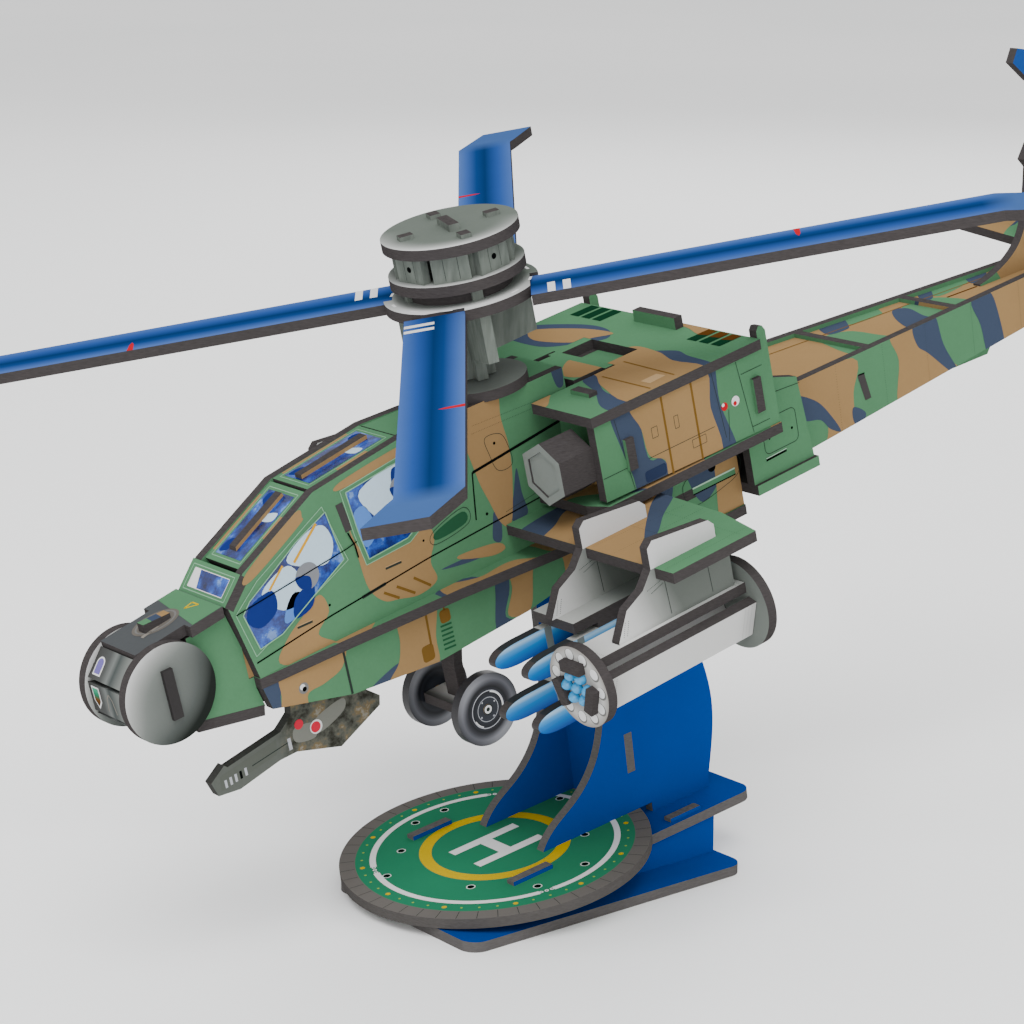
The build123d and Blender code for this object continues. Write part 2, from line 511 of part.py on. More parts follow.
# ---- gun and wheels ----------------------------------------------------------------
def make_underside():
    gun = side_board([(73.7, 40.5), (70.4, 42.6), (69.8, 42.0), (57.9, 43.5), (55.0, 45.6), (54.0, 51.4),
                      (44.0, 47.0), (40.0, 44.6), (36.0, 41.0), (36.4, 39.2), (46.2, 35.2), (55.5, 38.4),
                      (59.2, 38.4), (68.3, 36.9), (72.8, 37.6)], -BOARD / 2)
    belly_room = block(-20, 70, -SIDE_Y, SIDE_Y, 47.2, 58) + side_board([(64, 70), (64, 52.4), (46, 47.2),
                                                                        (46, 70)], -SIDE_Y, 2 * SIDE_Y)
    parts["gun_plate"] = HELI * (gun - belly_room)

    reach = WHEEL_Y - BOARD - TURN_GAP
    beam = block(WHEEL_X - 3.4, WHEEL_X + 3.4, -reach, reach, WHEEL_Z - BOARD / 2, WHEEL_Z + BOARD / 2)
    strut = cross_board([(-2.0, WHEEL_Z + BOARD / 2), (2.0, WHEEL_Z + BOARD / 2), (2.0, 40.0), (4.0, 47.2),
                         (-4.0, 47.2), (-2.0, 40.0)], WHEEL_X - BOARD / 2)
    pin = wheel_disc(PIN_RADIUS, WHEEL_X, WHEEL_Y, WHEEL_Z, 2 * WHEEL_Y)
    parts["landing_gear"] = HELI * group(beam - pin, strut - pin)
    wheel = wheel_disc(WHEEL_RADIUS, WHEEL_X, WHEEL_Y, WHEEL_Z)
    bore = wheel_disc(PIN_RADIUS + PIN_CLEARANCE, WHEEL_X, WHEEL_Y + 1, WHEEL_Z, 2 * WHEEL_Y)
    add_pair("wheel", wheel - bore, HELI)
    return pin


# ---- main rotor ------------------------------------------------------------------
def make_rotor():
    parts["mast_base_disc"] = HELI * (Pos(0, 0, 0) * disc(9.0, MAST_FOOT))
    pin = disc(PIN_RADIUS, MAST_FOOT + 9.0, 9.0)
    bore = disc(PIN_RADIUS + PIN_CLEARANCE, MAST_FOOT + 9.5, 10.5)

    foot = MAST_FOOT + TURN_GAP
    under_hub = HUB_LOW - BOARD
    mast_profile = [(-3.2, foot), (3.2, foot), (3.2, 94.4), (12.4, 96.0), (12.4, under_hub),
                    (10.4, under_hub),
                    (10.4, 109.4), (6.4, 109.4), (6.4, under_hub), (-6.4, under_hub), (-6.4, 109.4),
                    (-10.4, 109.4), (-10.4, under_hub), (-12.4, under_hub), (-12.4, 96.0), (-3.2, 94.4)]
    board = side_board(mast_profile, -BOARD / 2)
    first = board - block(-1, 1, -1, 1, 99.0, 110)
    second = Rot(0, 0, 90) * (board - block(-1, 1, -1, 1, 80, 99.0))
    turn = Rot(0, 0, MAST_ANGLE)
    mast = turn * group(first - bore, second - bore)
    parts["rotor_mast"] = HELI * mast
    blade_list = []
    for quarter in range(4):
        blade_list.append(Rot(0, 0, BLADE_ANGLE + 90 * quarter) * make_blade())
    clearance = turn * (board + Rot(0, 0, 90) * board)
    parts["rotor_blades"] = HELI * group(*[blade - clearance for blade in blade_list])
    low_disc = disc(14.2, HUB_LOW) - clearance
    for blade in blade_list:
        low_disc = low_disc - blade - Pos(0, 0, BOARD / 2) * blade
    middle_disc = disc(12.5, HUB_MIDDLE)
    spacer = disc(9.6, HUB_MIDDLE - BOARD, HUB_MIDDLE - BOARD - HUB_LOW) - clearance

    # the drum between the upper two discs: two crossed boards and eight small panels around them
    low, high = HUB_MIDDLE, HUB_TOP - BOARD
    tab_top = HUB_TOP + PROUD
    arms = []
    for quarter in (0, 90):
        arm = block(-9.6, 9.6, -1, 1, low, high)
        for side in (-1, 1):
            tab = block(side * 7.0, side * 10.2, -1, 1, low, tab_top)
            arm += tab & block(-9.6, 9.6, -1, 1, low, tab_top)
        arms.append(Rot(0, 0, quarter) * arm)
    centre_tab = block(-3.4, 3.4, -1, 1, low, HUB_TOP + 1.6 * PROUD)
    arms[1] = arms[1] - arms[0]
    arms[0] = arms[0] + centre_tab
    drum_turn = Rot(0, 0, BLADE_ANGLE + 20)
    panels = []
    for number in range(8):
        angle = 22.5 + 45 * number
        panel = block(9.2, 10.8, -3.4, 3.4, low, high)
        panels.append(drum_turn * Rot(0, 0, angle) * panel)
    cross = [drum_turn * arm for arm in arms]
    panels = [panel - cross[0] - cross[1] for panel in panels]
    parts["hub_drum"] = HELI * group(*cross, *panels)
    top_disc = disc(12.6, HUB_TOP) - cross[0] - cross[1]
    parts["hub_discs"] = HELI * group(low_disc, middle_disc, spacer, top_disc)
    return pin


def make_blade():
    """A blade along +X with its swept tip; it hangs under the low disc."""
    lead, trail = 0.7, -10.3
    root, end = BLADE_ROOT, BLADE_LENGTH
    return flat_board([(root, lead), (end, lead), (end + 9.6, -4.6), (end + 9.6, -15.0), (end + 2.0, -11.4),
                       (end, trail), (root, trail)], BLADE_TOP)


# ---- placing and writing --------------------------------------------------------
PAD = Pos(PAD_X, 0, PAD_TOP) * Rot(0, PAD_PITCH, 0)
HELI = Pos(HELI_X, 0, HELI_Z) * Rot(0, HELI_PITCH, 0)


def main():
    make_stand()
    make_nose()
    make_engines(*make_hull())
    make_wings()
    pins = [make_tail(), make_underside(), make_rotor()]
    parts["pivot_pins"] = HELI * group(*pins)
    os.makedirs("parts", exist_ok=True)
    for name, shape in parts.items():
        export_step(shape, "parts/" + name + ".step")
    print(len(parts), "nodes")


main()
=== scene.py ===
import bpy
import bmesh
import math
from mathutils import Matrix, Vector
from mathutils.geometry import tessellate_polygon


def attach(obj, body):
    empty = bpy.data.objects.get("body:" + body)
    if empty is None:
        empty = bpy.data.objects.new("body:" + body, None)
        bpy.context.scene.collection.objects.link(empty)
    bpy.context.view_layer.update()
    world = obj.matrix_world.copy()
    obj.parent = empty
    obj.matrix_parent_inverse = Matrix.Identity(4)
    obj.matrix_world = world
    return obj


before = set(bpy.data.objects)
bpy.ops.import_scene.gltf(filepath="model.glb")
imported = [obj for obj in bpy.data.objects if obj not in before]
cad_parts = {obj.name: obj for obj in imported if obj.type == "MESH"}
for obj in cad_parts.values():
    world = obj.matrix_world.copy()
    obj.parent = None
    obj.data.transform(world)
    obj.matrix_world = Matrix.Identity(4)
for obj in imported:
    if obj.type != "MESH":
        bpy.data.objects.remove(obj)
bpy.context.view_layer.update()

# ---- named places of the model, in millimetres ----
MM = 0.001
LIFT = 0.02                                   # one layer of ink over another
HELI_FOOT, HELI_PITCH = (-8.54, 12.03), math.radians(13.3)
PAD_MIDDLE, PAD_PITCH = (8.5, 8.0), math.radians(8.3)
SIDE, COWL_SIDE, NACELLE, BAY = 7.4, 20.0, 25.0, 16.0      # faces, out from the middle
DECK, WING, BLADE_TOP, HUB_LOW = 84.6, 64.0, 106.8, 107.4  # upper faces
BOOM_ROOT, BOOM_HALF, BOOM_TAPER = -60.4, 14.0, 7.8 / 85.6
BOOM_ROOF, BOOM_FALL = 66.7, 5.3 / 85.6
BLADE_ANGLE = 51.5
BLADE_REAR, BLADE_CREST, TIP_START, TIP_END = -10.3, 0.7, 94.0, 100.0
POD_Y, POD_Z, POD_FRONT, POD_PANEL_OUT = 45.0, 48.5, 23.5, 5.1
POD_PANEL_REAR, POD_PANEL_FRONT, POD_DISH = -13.7, 21.5, 7.6
POD_TURNS = (0, 110, 250)                     # degrees round the pod
ROCKET_RADIUS, ROCKET_LENGTH = 1.15, 1.5
MISSILE_Z, MISSILE_STEP, MISSILE_SPLIT, MISSILE_HALF = 38.4, 10.4, 43.0, 2.1
TURRET_X, TURRET_Z, TURRET_RADIUS = 80.4, 63.1, 9.0
FACET_HALF, FACET_OUT = 5.5, 8.5 * math.cos(math.radians(19.2))
WHEEL_X, WHEEL_Z, WHEEL_Y, WHEEL_RADIUS = 18.5, 32.1, 8.6, 7.0
PYLONS, PYLON_HALF = (28.6, 46.8), 1.0
HUB_SHADE, HUB_RIM, DRUM_OUT = 7.5, 12.8, 10.8
PAD_GREEN, PAD_RING = 26.9, 23.5
INTAKE_LIP, GUN_FACE, GUN_MUZZLE = 4.5, 1.0, (56.0, 59.0)
STARBOARD_EXTRA = 6.5                         # the starboard stores sit further out
INK_STRENGTH = 0.66                           # prints are dimmer than the bright room


def tilted(foot, pitch, x, y, z):
    """A point of a pitched frame, in the row frame and in metres."""
    c, s = math.cos(pitch), math.sin(pitch)
    return Vector((foot[0] + x * c + z * s, y, foot[1] - x * s + z * c)) * MM


def heli(x, y, z):
    return tilted(HELI_FOOT, HELI_PITCH, x, y, z)


def pad(x, y, z):
    return tilted(PAD_MIDDLE, PAD_PITCH, x, y, z)


def store_y(sign, y):
    """Where a store that is at y on the port side sits on either side."""
    return y if sign > 0 else -y - STARBOARD_EXTRA


def side(y, layer=1):
    out = math.copysign(abs(y) + layer * LIFT, y)
    return lambda x, z: heli(x, out, z)


def top(z, layer=1):
    return lambda x, y: heli(x, y, z + layer * LIFT)


def helipad(layer=1):
    return lambda x, y: pad(x, y, layer * LIFT)


def slope(x0, z0, x1, z1, layer=1):
    """A plane that climbs from one cross line to another: (distance along it, y)."""
    length = math.hypot(x1 - x0, z1 - z0)
    ux, uz = (x1 - x0) / length, (z1 - z0) / length
    out = layer * LIFT
    return lambda s, y: heli(x0 + ux * s + abs(uz) * out, y, z0 + uz * s + abs(ux) * out)


def boom_wall(sign, layer=1):
    def place(x, z):
        half = BOOM_HALF - (BOOM_ROOT - x) * BOOM_TAPER
        return heli(x, sign * (half + layer * LIFT), z)
    return place


def boom_roof(layer=1):
    return lambda x, y: heli(x, y, BOOM_ROOF - (BOOM_ROOT - x) * BOOM_FALL + layer * LIFT)


def blade_face(quarter, layer=1):
    angle = math.radians(BLADE_ANGLE + 90 * quarter)
    c, s = math.cos(angle), math.sin(angle)
    return lambda along, across: heli(along * c - across * s, along * s + across * c,
                                      BLADE_TOP + layer * LIFT)


# ---- flat outlines ----
def box(a0, a1, b0, b1):
    return [(a0, b0), (a1, b0), (a1, b1), (a0, b1)]


def rounded(points, steps=5):
    """A smooth closed curve through the points."""
    out = []
    count = len(points)
    for i in range(count):
        p0, p1, p2, p3 = (Vector(points[(i + k) % count]) for k in (-1, 0, 1, 2))
        for step in range(steps):
            t = step / steps
            point = 0.5 * (2 * p1 + (p2 - p0) * t + (2 * p0 - 5 * p1 + 4 * p2 - p3) * t * t
                           + (3 * p1 - p0 - 3 * p2 + p3) * t ** 3)
            out.append((point.x, point.y))
    return out


def soft_box(a0, a1, b0, b1, radius):
    """A rectangle with round corners."""
    out = []
    corners = ((a1 - radius, b1 - radius, 0), (a0 + radius, b1 - radius, 90),
               (a0 + radius, b0 + radius, 180), (a1 - radius, b0 + radius, 270))
    for a, b, start in corners:
        out += arc(a, b, radius, start, start + 90, 5)
    return out


def polar(radius, degrees, a=0.0, b=0.0):
    """The point at a distance and an angle from (a, b)."""
    angle = math.radians(degrees)
    return a + radius * math.cos(angle), b + radius * math.sin(angle)


def arc(a, b, radius, start=0.0, end=360.0, steps=48):
    """Points on a circle, or on a part of one with both its ends."""
    gaps = steps if end - start >= 360 else steps - 1
    return [polar(radius, start + (end - start) * step / gaps, a, b) for step in range(steps)]


def oval(a, b, ra, rb, steps=40):
    """Points on an ellipse."""
    turns = (2 * math.pi * k / steps for k in range(steps))
    return [(a + ra * math.cos(t), b + rb * math.sin(t)) for t in turns]


def ring(a, b, inner, outer, start=0.0, end=360.0, steps=48):
    """A ring, or a part of one, as a list of quads."""
    out = []
    for step in range(steps):
        t0, t1 = (start + (end - start) * (step + k) / steps for k in (0, 1))
        corners = ((inner, t0), (outer, t0), (outer, t1), (inner, t1))
        out.append([polar(radius, t, a, b) for radius, t in corners])
    return out


def ribbon(points, width):
    """A line of some width, as quads."""
    out = []
    for (a0, b0), (a1, b1) in zip(points, points[1:]):
        length = math.hypot(a1 - a0, b1 - b0)
        na, nb = -(b1 - b0) / length * width / 2, (a1 - a0) / length * width / 2
        out.append([(a0 - na, b0 - nb), (a1 - na, b1 - nb), (a1 + na, b1 + nb), (a0 + na, b0 + nb)])
    return out


def outline(points, width):
    """A closed line."""
    return ribbon(points + points[:1], width)


def dots(start, end, count, radius):
    """A row of round dots."""
    out = []
    for number in range(count):
        t = number / max(1, count - 1)
        a, b = (start[k] + (end[k] - start[k]) * t for k in (0, 1))
        out.append(arc(a, b, radius, steps=8))
    return out


def clip(points, window):
    """The part of an outline that lies inside a convex window, given anticlockwise."""
    for (wa, wb), (wc, wd) in zip(window, window[1:] + window[:1]):
        def inside(p):
            return (wc - wa) * (p[1] - wb) - (wd - wb) * (p[0] - wa) >= 0
        kept = []
        for p, q in zip(points, points[1:] + points[:1]):
            if inside(p) != inside(q):
                run = (q[0] - p[0], q[1] - p[1])
                gap = (wc - wa) * (p[1] - wb) - (wd - wb) * (p[0] - wa)
                speed = (wd - wb) * run[0] - (wc - wa) * run[1]
                t = gap / speed
                cross = (p[0] + run[0] * t, p[1] + run[1] * t)
                kept += [p, cross] if inside(p) else [cross]
            elif inside(p):
                kept.append(p)
        points = kept
        if not points:
            break
    return points


# ---- ink: flat prints collected by colour and body ----
ink = {}


def stamp(colour, shapes, place, body="airframe"):
    for shape in shapes:
        if len(shape) > 2:
            ink.setdefault((colour, body), []).append([place(a, b) for a, b in shape])


def both(colour, shapes, y, layer=1):
    """The same print on the port face and, mirrored, on the starboard one."""
    for sign in (1, -1):
        stamp(colour, shapes, side(sign * y, layer))


def camo(colour, patches, place, window):
    """Smooth patches, cut off at the edge of the board that they lie on."""
    for patch in patches:
        stamp(colour, [clip(rounded(patch), window)], place)


def two_tone(y, window, navy, tan):
    """Navy patches with tan ones over them, on both sides of the model."""
    for sign in (1, -1):
        camo("navy", navy, side(sign * y, 1), window)
        camo("tan", tan, side(sign * y, 2), window)


# ---- materials ----
def linear(code, strength=INK_STRENGTH):
    """An sRGB colour such as 0x5a8a64 as linear red, green, blue, alpha."""
    out = []
    for shift in (16, 8, 0):
        value = ((code >> shift) & 255) / 255
        out.append(strength * (value / 12.92 if value <= 0.04045 else ((value + 0.055) / 1.055) ** 2.4))
    return (*out, 1.0)


GRAIN_FINE, GRAIN_BROAD, BUMP_SCALE = 1680.0, 84.0, 2600.0   # noise sizes, per metre
BUMP_DEPTH = 0.04 * MM


class Paint:
    """A small helper that builds one node tree."""

    def __init__(self, name, roughness=0.55, specular=0.0):
        self.material = bpy.data.materials.new(name)
        self.material.use_nodes = True
        self.tree = self.material.node_tree
        self.shader = self.tree.nodes["Principled BSDF"]
        self.shader.inputs["Roughness"].default_value = roughness
        self.shader.inputs["Specular IOR Level"].default_value = specular
        self.place = self.tree.nodes.new("ShaderNodeTexCoord")

    def node(self, kind, **values):
        node = self.tree.nodes.new(kind)
        for key, value in values.items():
            setattr(node, key, value)
        return node

    def link(self, source, target):
        self.tree.links.new(source, target)

    def feed(self, socket, value):
        if hasattr(value, "is_output"):
            self.link(value, socket)
        else:
            socket.default_value = value

    def math(self, operation, first, second=0.0, third=0.0):
        node = self.node("ShaderNodeMath", operation=operation)
        for socket, value in zip(node.inputs, (first, second, third)):
            self.feed(socket, value)
        return node.outputs[0]

    def plus(self, first, second):
        return self.math("ADD", first, second)

    def minus(self, first, second):
        return self.math("SUBTRACT", first, second)

    def times(self, first, second):
        return self.math("MULTIPLY", first, second)

    def above(self, value, limit):
        return self.math("GREATER_THAN", value, limit)

    def below(self, value, limit):
        return self.math("LESS_THAN", value, limit)

    def size(self, value):
        return self.math("ABSOLUTE", value)

    def distance(self, first, second):
        """How far (first, second) is from (0, 0)."""
        return self.math("SQRT", self.plus(self.times(first, first), self.times(second, second)))

    def along(self, axis, source="Object", offset=0.0):
        """The coordinate along a row-frame direction; for Object, in metres."""
        node = self.node("ShaderNodeVectorMath", operation="DOT_PRODUCT")
        self.link(self.place.outputs[source], node.inputs[0])
        node.inputs[1].default_value = axis
        return self.plus(node.outputs["Value"], offset) if offset else node.outputs["Value"]

    def faces(self, *axes, limit=0.75):
        """1 on the faces that look along one of the directions, 0 elsewhere."""
        best = None
        for axis in axes:
            facing = self.size(self.along(axis, "Normal"))
            best = facing if best is None else self.math("MAXIMUM", best, facing)
        return self.above(best, limit)

    def noise(self, scale, detail=3.0, rough=0.5, stretch=None):
        node = self.node("ShaderNodeTexNoise")
        node.inputs["Scale"].default_value = scale
        node.inputs["Detail"].default_value = detail
        node.inputs["Roughness"].default_value = rough
        if stretch:
            mapping = self.node("ShaderNodeMapping")
            mapping.inputs["Scale"].default_value = stretch
            self.link(self.place.outputs["Object"], mapping.inputs[0])
            self.link(mapping.outputs[0], node.inputs["Vector"])
        else:
            self.link(self.place.outputs["Object"], node.inputs["Vector"])
        return node.outputs["Fac"]

    def ramp(self, value, stops):
        """A colour gradient: value 0 to 1 through (position, sRGB code) stops."""
        node = self.node("ShaderNodeValToRGB")
        elements = node.color_ramp.elements
        while len(elements) < len(stops):
            elements.new(0.5)
        for element, (position, colour) in zip(elements, stops):
            element.position = position
            element.color = linear(colour)
        self.feed(node.inputs[0], value)
        return node.outputs[0]

    def mix(self, factor, first, second, blend="MIX"):
        node = self.node("ShaderNodeMix", data_type="RGBA", blend_type=blend)
        self.feed(node.inputs[0], factor)
        self.feed(node.inputs[6], first)
        self.feed(node.inputs[7], second)
        return node.outputs[2]

    def span(self, value, low, high):
        """value from low to high becomes 0 to 1."""
        node = self.node("ShaderNodeMapRange")
        self.feed(node.inputs[0], value)
        node.inputs[1].default_value, node.inputs[2].default_value = low, high
        return node.outputs[0]

    def grain(self, colour, amount=0.10):
        """Uneven ink: fine mottling and broad, faint tone changes."""
        fine = self.span(self.noise(GRAIN_FINE, 2.0), 0.3, 0.7)
        broad = self.span(self.noise(GRAIN_BROAD, 2.0), 0.3, 0.7)
        both_tones = self.math("MULTIPLY_ADD", fine, 0.4, self.times(broad, 0.6))
        darker = self.mix(1.0, colour, (1 - amount, 1 - amount, 1 - amount, 1), "MULTIPLY")
        return self.mix(both_tones, darker, colour)

    def finish(self, colour, bump=0.05):
        self.feed(self.shader.inputs["Base Color"], colour)
        if bump:
            node = self.node("ShaderNodeBump")
            node.inputs["Strength"].default_value = bump
            node.inputs["Distance"].default_value = BUMP_DEPTH
            self.link(self.noise(BUMP_SCALE, 3.0), node.inputs["Height"])
            self.link(node.outputs[0], self.shader.inputs["Normal"])
        return self.material


def pitched_axes(pitch):
    c, s = math.cos(pitch), math.sin(pitch)
    return {"x": (c, 0, -s), "y": (0, 1, 0), "z": (s, 0, c)}


HELI_AXES, PAD_AXES = pitched_axes(HELI_PITCH), pitched_axes(PAD_PITCH)
EDGE, EDGE_LIGHT = 0x4b4747, 0x686564


def coordinate(paint, foot, axis):
    """A coordinate in a pitched frame, in metres."""
    start = Vector((foot[0], 0, foot[1])) * MM
    return paint.along(axis, offset=-start.dot(Vector(axis)))


def heli_coordinate(paint, axis):
    return coordinate(paint, HELI_FOOT, HELI_AXES[axis])


def pad_coordinate(paint, axis):
    return coordinate(paint, PAD_MIDDLE, PAD_AXES[axis])


def edge_colour(paint, code=EDGE):
    """The cut edge of the board: charcoal, with fine fibres."""
    fibre = paint.span(paint.noise(900.0, 4.0, 0.6, (1, 1, 6)), 0.25, 0.75)
    base = linear(code)
    dark = tuple(v * 0.72 for v in base[:3]) + (1.0,)
    light = tuple(min(1.0, v * 1.12) for v in base[:3]) + (1.0,)
    return paint.mix(fibre, dark, light)


def board(name, printed, axes, kinds, edge=EDGE, limit=0.75, roughness=0.5, specular=0.0):
    """A printed board: print on its faces, charcoal on its cut edges."""
    paint = Paint(name, roughness, specular)
    face = printed(paint)
    on_face = paint.faces(*[axes[kind] if isinstance(kind, str) else kind for kind in kinds], limit=limit)
    return paint.finish(paint.mix(on_face, edge_colour(paint, edge), face))


def plain(code, amount=0.10):
    return lambda paint: paint.grain(linear(code), amount)


GREEN, TAN, NAVY = 0x5a8c66, 0xa5855b, 0x465166


def all_over_camo(paint):
    """Three-colour camouflage in broad soft-edged patches."""
    first = paint.noise(48.0, 1.2, 0.4)
    second = paint.noise(36.0, 1.0, 0.4, (1.0, 1.35, 0.8))
    tan = paint.above(first, 0.53)
    rim = paint.above(first, 0.49)
    navy = paint.times(rim, paint.above(second, 0.5))
    colour = paint.mix(navy, linear(GREEN), linear(NAVY))
    return paint.grain(paint.mix(tan, colour, linear(TAN)), 0.12)


def blade_print(paint):
    """Blue across the blade: light at both edges, navy along its middle."""
    angle = math.radians(BLADE_ANGLE)
    c, s = math.cos(angle), math.sin(angle)
    hx, hy = heli_coordinate(paint, "x"), heli_coordinate(paint, "y")
    u = paint.plus(paint.times(hx, c), paint.times(hy, s))
    v = paint.minus(paint.times(hy, c), paint.times(hx, s))
    along_u = paint.above(paint.size(u), paint.size(v))
    across_u = paint.times(paint.math("SIGN", u), v)
    across_v = paint.times(paint.math("SIGN", v), paint.times(u, -1.0))
    across = paint.plus(paint.times(along_u, across_u),
                        paint.times(paint.minus(1.0, along_u), across_v))
    tone = paint.span(across, BLADE_REAR * MM, BLADE_CREST * MM)
    stops = [(0.0, 0x4d6db0), (0.25, 0x2c539c), (0.5, 0x0f3566), (0.66, 0x15407c), (0.85, 0x3f61a6),
             (1.0, 0x5574b4)]
    inner = paint.ramp(tone, stops)
    reach = paint.math("MAXIMUM", paint.size(u), paint.size(v))
    tip = paint.span(reach, TIP_START * MM, TIP_END * MM)
    return paint.grain(paint.mix(tip, inner, linear(0x46669f)), 0.06)


def turret_print(paint):
    """A metal dish: bright rim at the upper front, dark at the lower rear."""
    x = paint.minus(heli_coordinate(paint, "x"), TURRET_X * MM)
    z = paint.minus(heli_coordinate(paint, "z"), TURRET_Z * MM)
    radius = paint.distance(x, z)
    lean = paint.plus(paint.times(x, 0.75), paint.times(z, 0.66))
    weight = paint.math("POWER", paint.span(radius, 0.0, TURRET_RADIUS * MM), 1.6)
    tone = paint.math("MULTIPLY_ADD", paint.times(lean, weight), 70.0, 0.40)
    stops = [(0.0, 0x262a27), (0.25, 0x565b58), (0.5, 0x7d827e), (0.75, 0xb0b2af), (1.0, 0xdadad9)]
    return paint.grain(paint.ramp(tone, stops), 0.05)


def facet_print(paint):
    y = paint.span(heli_coordinate(paint, "y"), -FACET_HALF * MM, FACET_HALF * MM)
    stops = [(0.0, 0x4a4a49), (0.35, 0x585a59), (0.5, 0x7b7f7d), (0.62, 0x4f5554), (0.8, 0x767a77),
             (1.0, 0x90938f)]
    return paint.grain(paint.ramp(y, stops), 0.06)


def wheel_print(paint):
    """A tyre with a soft sheen, a thin bright ring, and a dark hub."""
    x = paint.minus(heli_coordinate(paint, "x"), WHEEL_X * MM)
    z = paint.minus(heli_coordinate(paint, "z"), WHEEL_Z * MM)
    radius = paint.distance(x, z)
    tone = paint.span(radius, 0.0, WHEEL_RADIUS * MM)
    stops = [(0.0, 0x20242c), (0.3, 0x2c3038), (0.47, 0x181a20), (0.56, 0x23252c), (0.62, 0x141519),
             (0.72, 0x34353b), (0.84, 0x5c5d64), (0.93, 0x4a4b51), (1.0, 0x2c2c30)]
    rings = paint.ramp(tone, stops)
    angle = paint.math("ARCTAN2", z, x)
    wave = paint.math("SINE", paint.plus(angle, 0.6))
    sheen = paint.math("POWER", paint.size(wave), 3.0)
    outer = paint.times(sheen, paint.span(tone, 0.66, 0.85))
    return paint.mix(paint.times(outer, 0.45), rings, linear(0xb9bac0))


def pad_print(paint):
    x, y = pad_coordinate(paint, "x"), pad_coordinate(paint, "y")
    radius = paint.distance(x, y)
    band = paint.above(radius, PAD_GREEN * MM)
    return paint.grain(paint.mix(band, linear(0x2f8561), linear(0x716d69)), 0.08)


def hub_print(paint):
    x, y = heli_coordinate(paint, "x"), heli_coordinate(paint, "y")
    radius = paint.distance(x, y)
    rim = paint.math("POWER", paint.span(radius, HUB_SHADE * MM, HUB_RIM * MM), 2.0)
    lean = paint.span(paint.plus(x, y), -0.004, 0.017)
    shine = paint.times(rim, lean)
    return paint.grain(paint.mix(shine, linear(0x6d756e), linear(0xf0f0ef)), 0.10)


def drum_print(paint):
    streak = paint.span(paint.noise(700.0, 3.0, 0.6, (1, 1, 0.12)), 0.3, 0.7)
    return paint.mix(streak, linear(0x656c66), linear(0x7d847d))


def pylon_print(paint):
    """Light above the wing; grey below it, running to light at the front edge."""
    x, z = heli_coordinate(paint, "x"), heli_coordinate(paint, "z")
    above = paint.above(z, WING * MM)
    lean = paint.minus(x, paint.times(z, 0.35))
    tone = paint.span(lean, -0.036, -0.005)
    stops = [(0.0, 0x747974), (0.55, 0x6f746f), (0.72, 0x9b9e9a), (0.88, 0xd4d4d2), (1.0, 0xe6e6e5)]
    below = paint.ramp(tone, stops)
    return paint.grain(paint.mix(above, below, linear(0xe0dfdf)), 0.05)


def pod_material():
    """Rocket pod: metal-look discs, light boards between them."""
    paint = Paint("pod_print", 0.42)
    x, y, z = (heli_coordinate(paint, axis) for axis in "xyz")
    on_starboard = paint.below(y, 0.0)
    middle = paint.math("MULTIPLY_ADD", on_starboard, STARBOARD_EXTRA * MM, POD_Y * MM)
    off_y = paint.minus(paint.size(y), middle)
    off_z = paint.minus(z, POD_Z * MM)
    radius = paint.distance(off_y, off_z)
    dish_stops = [(0.0, 0x8a8a88), (0.55, 0xa9a8a5), (0.8, 0xd2d1ce), (1.0, 0xa19d98)]
    dish = paint.ramp(paint.span(radius, 0.0, POD_DISH * MM), dish_stops)
    rear = paint.below(x, 0.0)
    disc_face = paint.mix(rear, dish, paint.grain(linear(0x7b817c), 0.06))
    panel_stops = [(0.0, 0xcfcfcd), (0.12, 0xdededc), (0.8, 0xe4e4e2), (1.0, 0xc9c9c6)]
    length = paint.span(x, POD_PANEL_REAR * MM, POD_PANEL_FRONT * MM)
    panel = paint.grain(paint.ramp(length, panel_stops), 0.05)
    normals = []
    for degrees in POD_TURNS:
        for sign in (1, -1):
            a = math.radians(degrees * sign)
            local = Vector((0, -math.sin(a), math.cos(a)))
            axis = sum((Vector(HELI_AXES[k]) * local[i] for i, k in enumerate("xyz")), Vector())
            normals.append(tuple(axis))
    ahead = paint.above(x, (POD_PANEL_REAR + 0.1) * MM)
    behind = paint.below(x, (POD_PANEL_FRONT - 0.1) * MM)
    between = paint.times(ahead, behind)
    on_panel = paint.times(paint.faces(*normals, limit=0.97), between)
    colour = paint.mix(on_panel, edge_colour(paint), panel)
    on_disc = paint.below(x, (POD_FRONT + 0.2) * MM)
    printed = paint.times(paint.faces(HELI_AXES["x"]), on_disc)
    return paint.finish(paint.mix(printed, colour, disc_face))


def launcher_material():
    """Missile launcher: grey plates, and blue missiles with painted shade and a painted highlight that make
    them look round.
    """
    paint = Paint("launcher_print", 0.38, 0.08)
    z = heli_coordinate(paint, "z")
    upper = paint.above(z, MISSILE_SPLIT * MM)
    middle = paint.math("MULTIPLY_ADD", upper, MISSILE_STEP * MM, MISSILE_Z * MM)
    t = paint.minus(z, middle)
    inside = paint.below(paint.size(t), (MISSILE_HALF + LIFT) * MM)
    # painted shade and highlight across each missile: deep blue at the bottom, a pale highlight near the
    # top
    stops = [(0.0, 0x0b3f8f), (0.25, 0x1263b4), (0.5, 0x1c7dcb), (0.72, 0x4fa3e0), (0.9, 0xb5dcf8),
             (1.0, 0x7cbcee)]
    body = paint.ramp(paint.span(t, -MISSILE_HALF * MM, MISSILE_HALF * MM), stops)
    x = heli_coordinate(paint, "x")
    band = paint.times(paint.above(x, 0.0126), paint.below(x, 0.0142))
    body = paint.mix(band, body, linear(0x76807f))
    on_side = paint.faces(HELI_AXES["y"])
    blue = paint.mix(paint.times(on_side, inside), edge_colour(paint), body)
    return paint.finish(paint.mix(paint.faces(HELI_AXES["z"], limit=0.97), blue, plate_print(paint)))


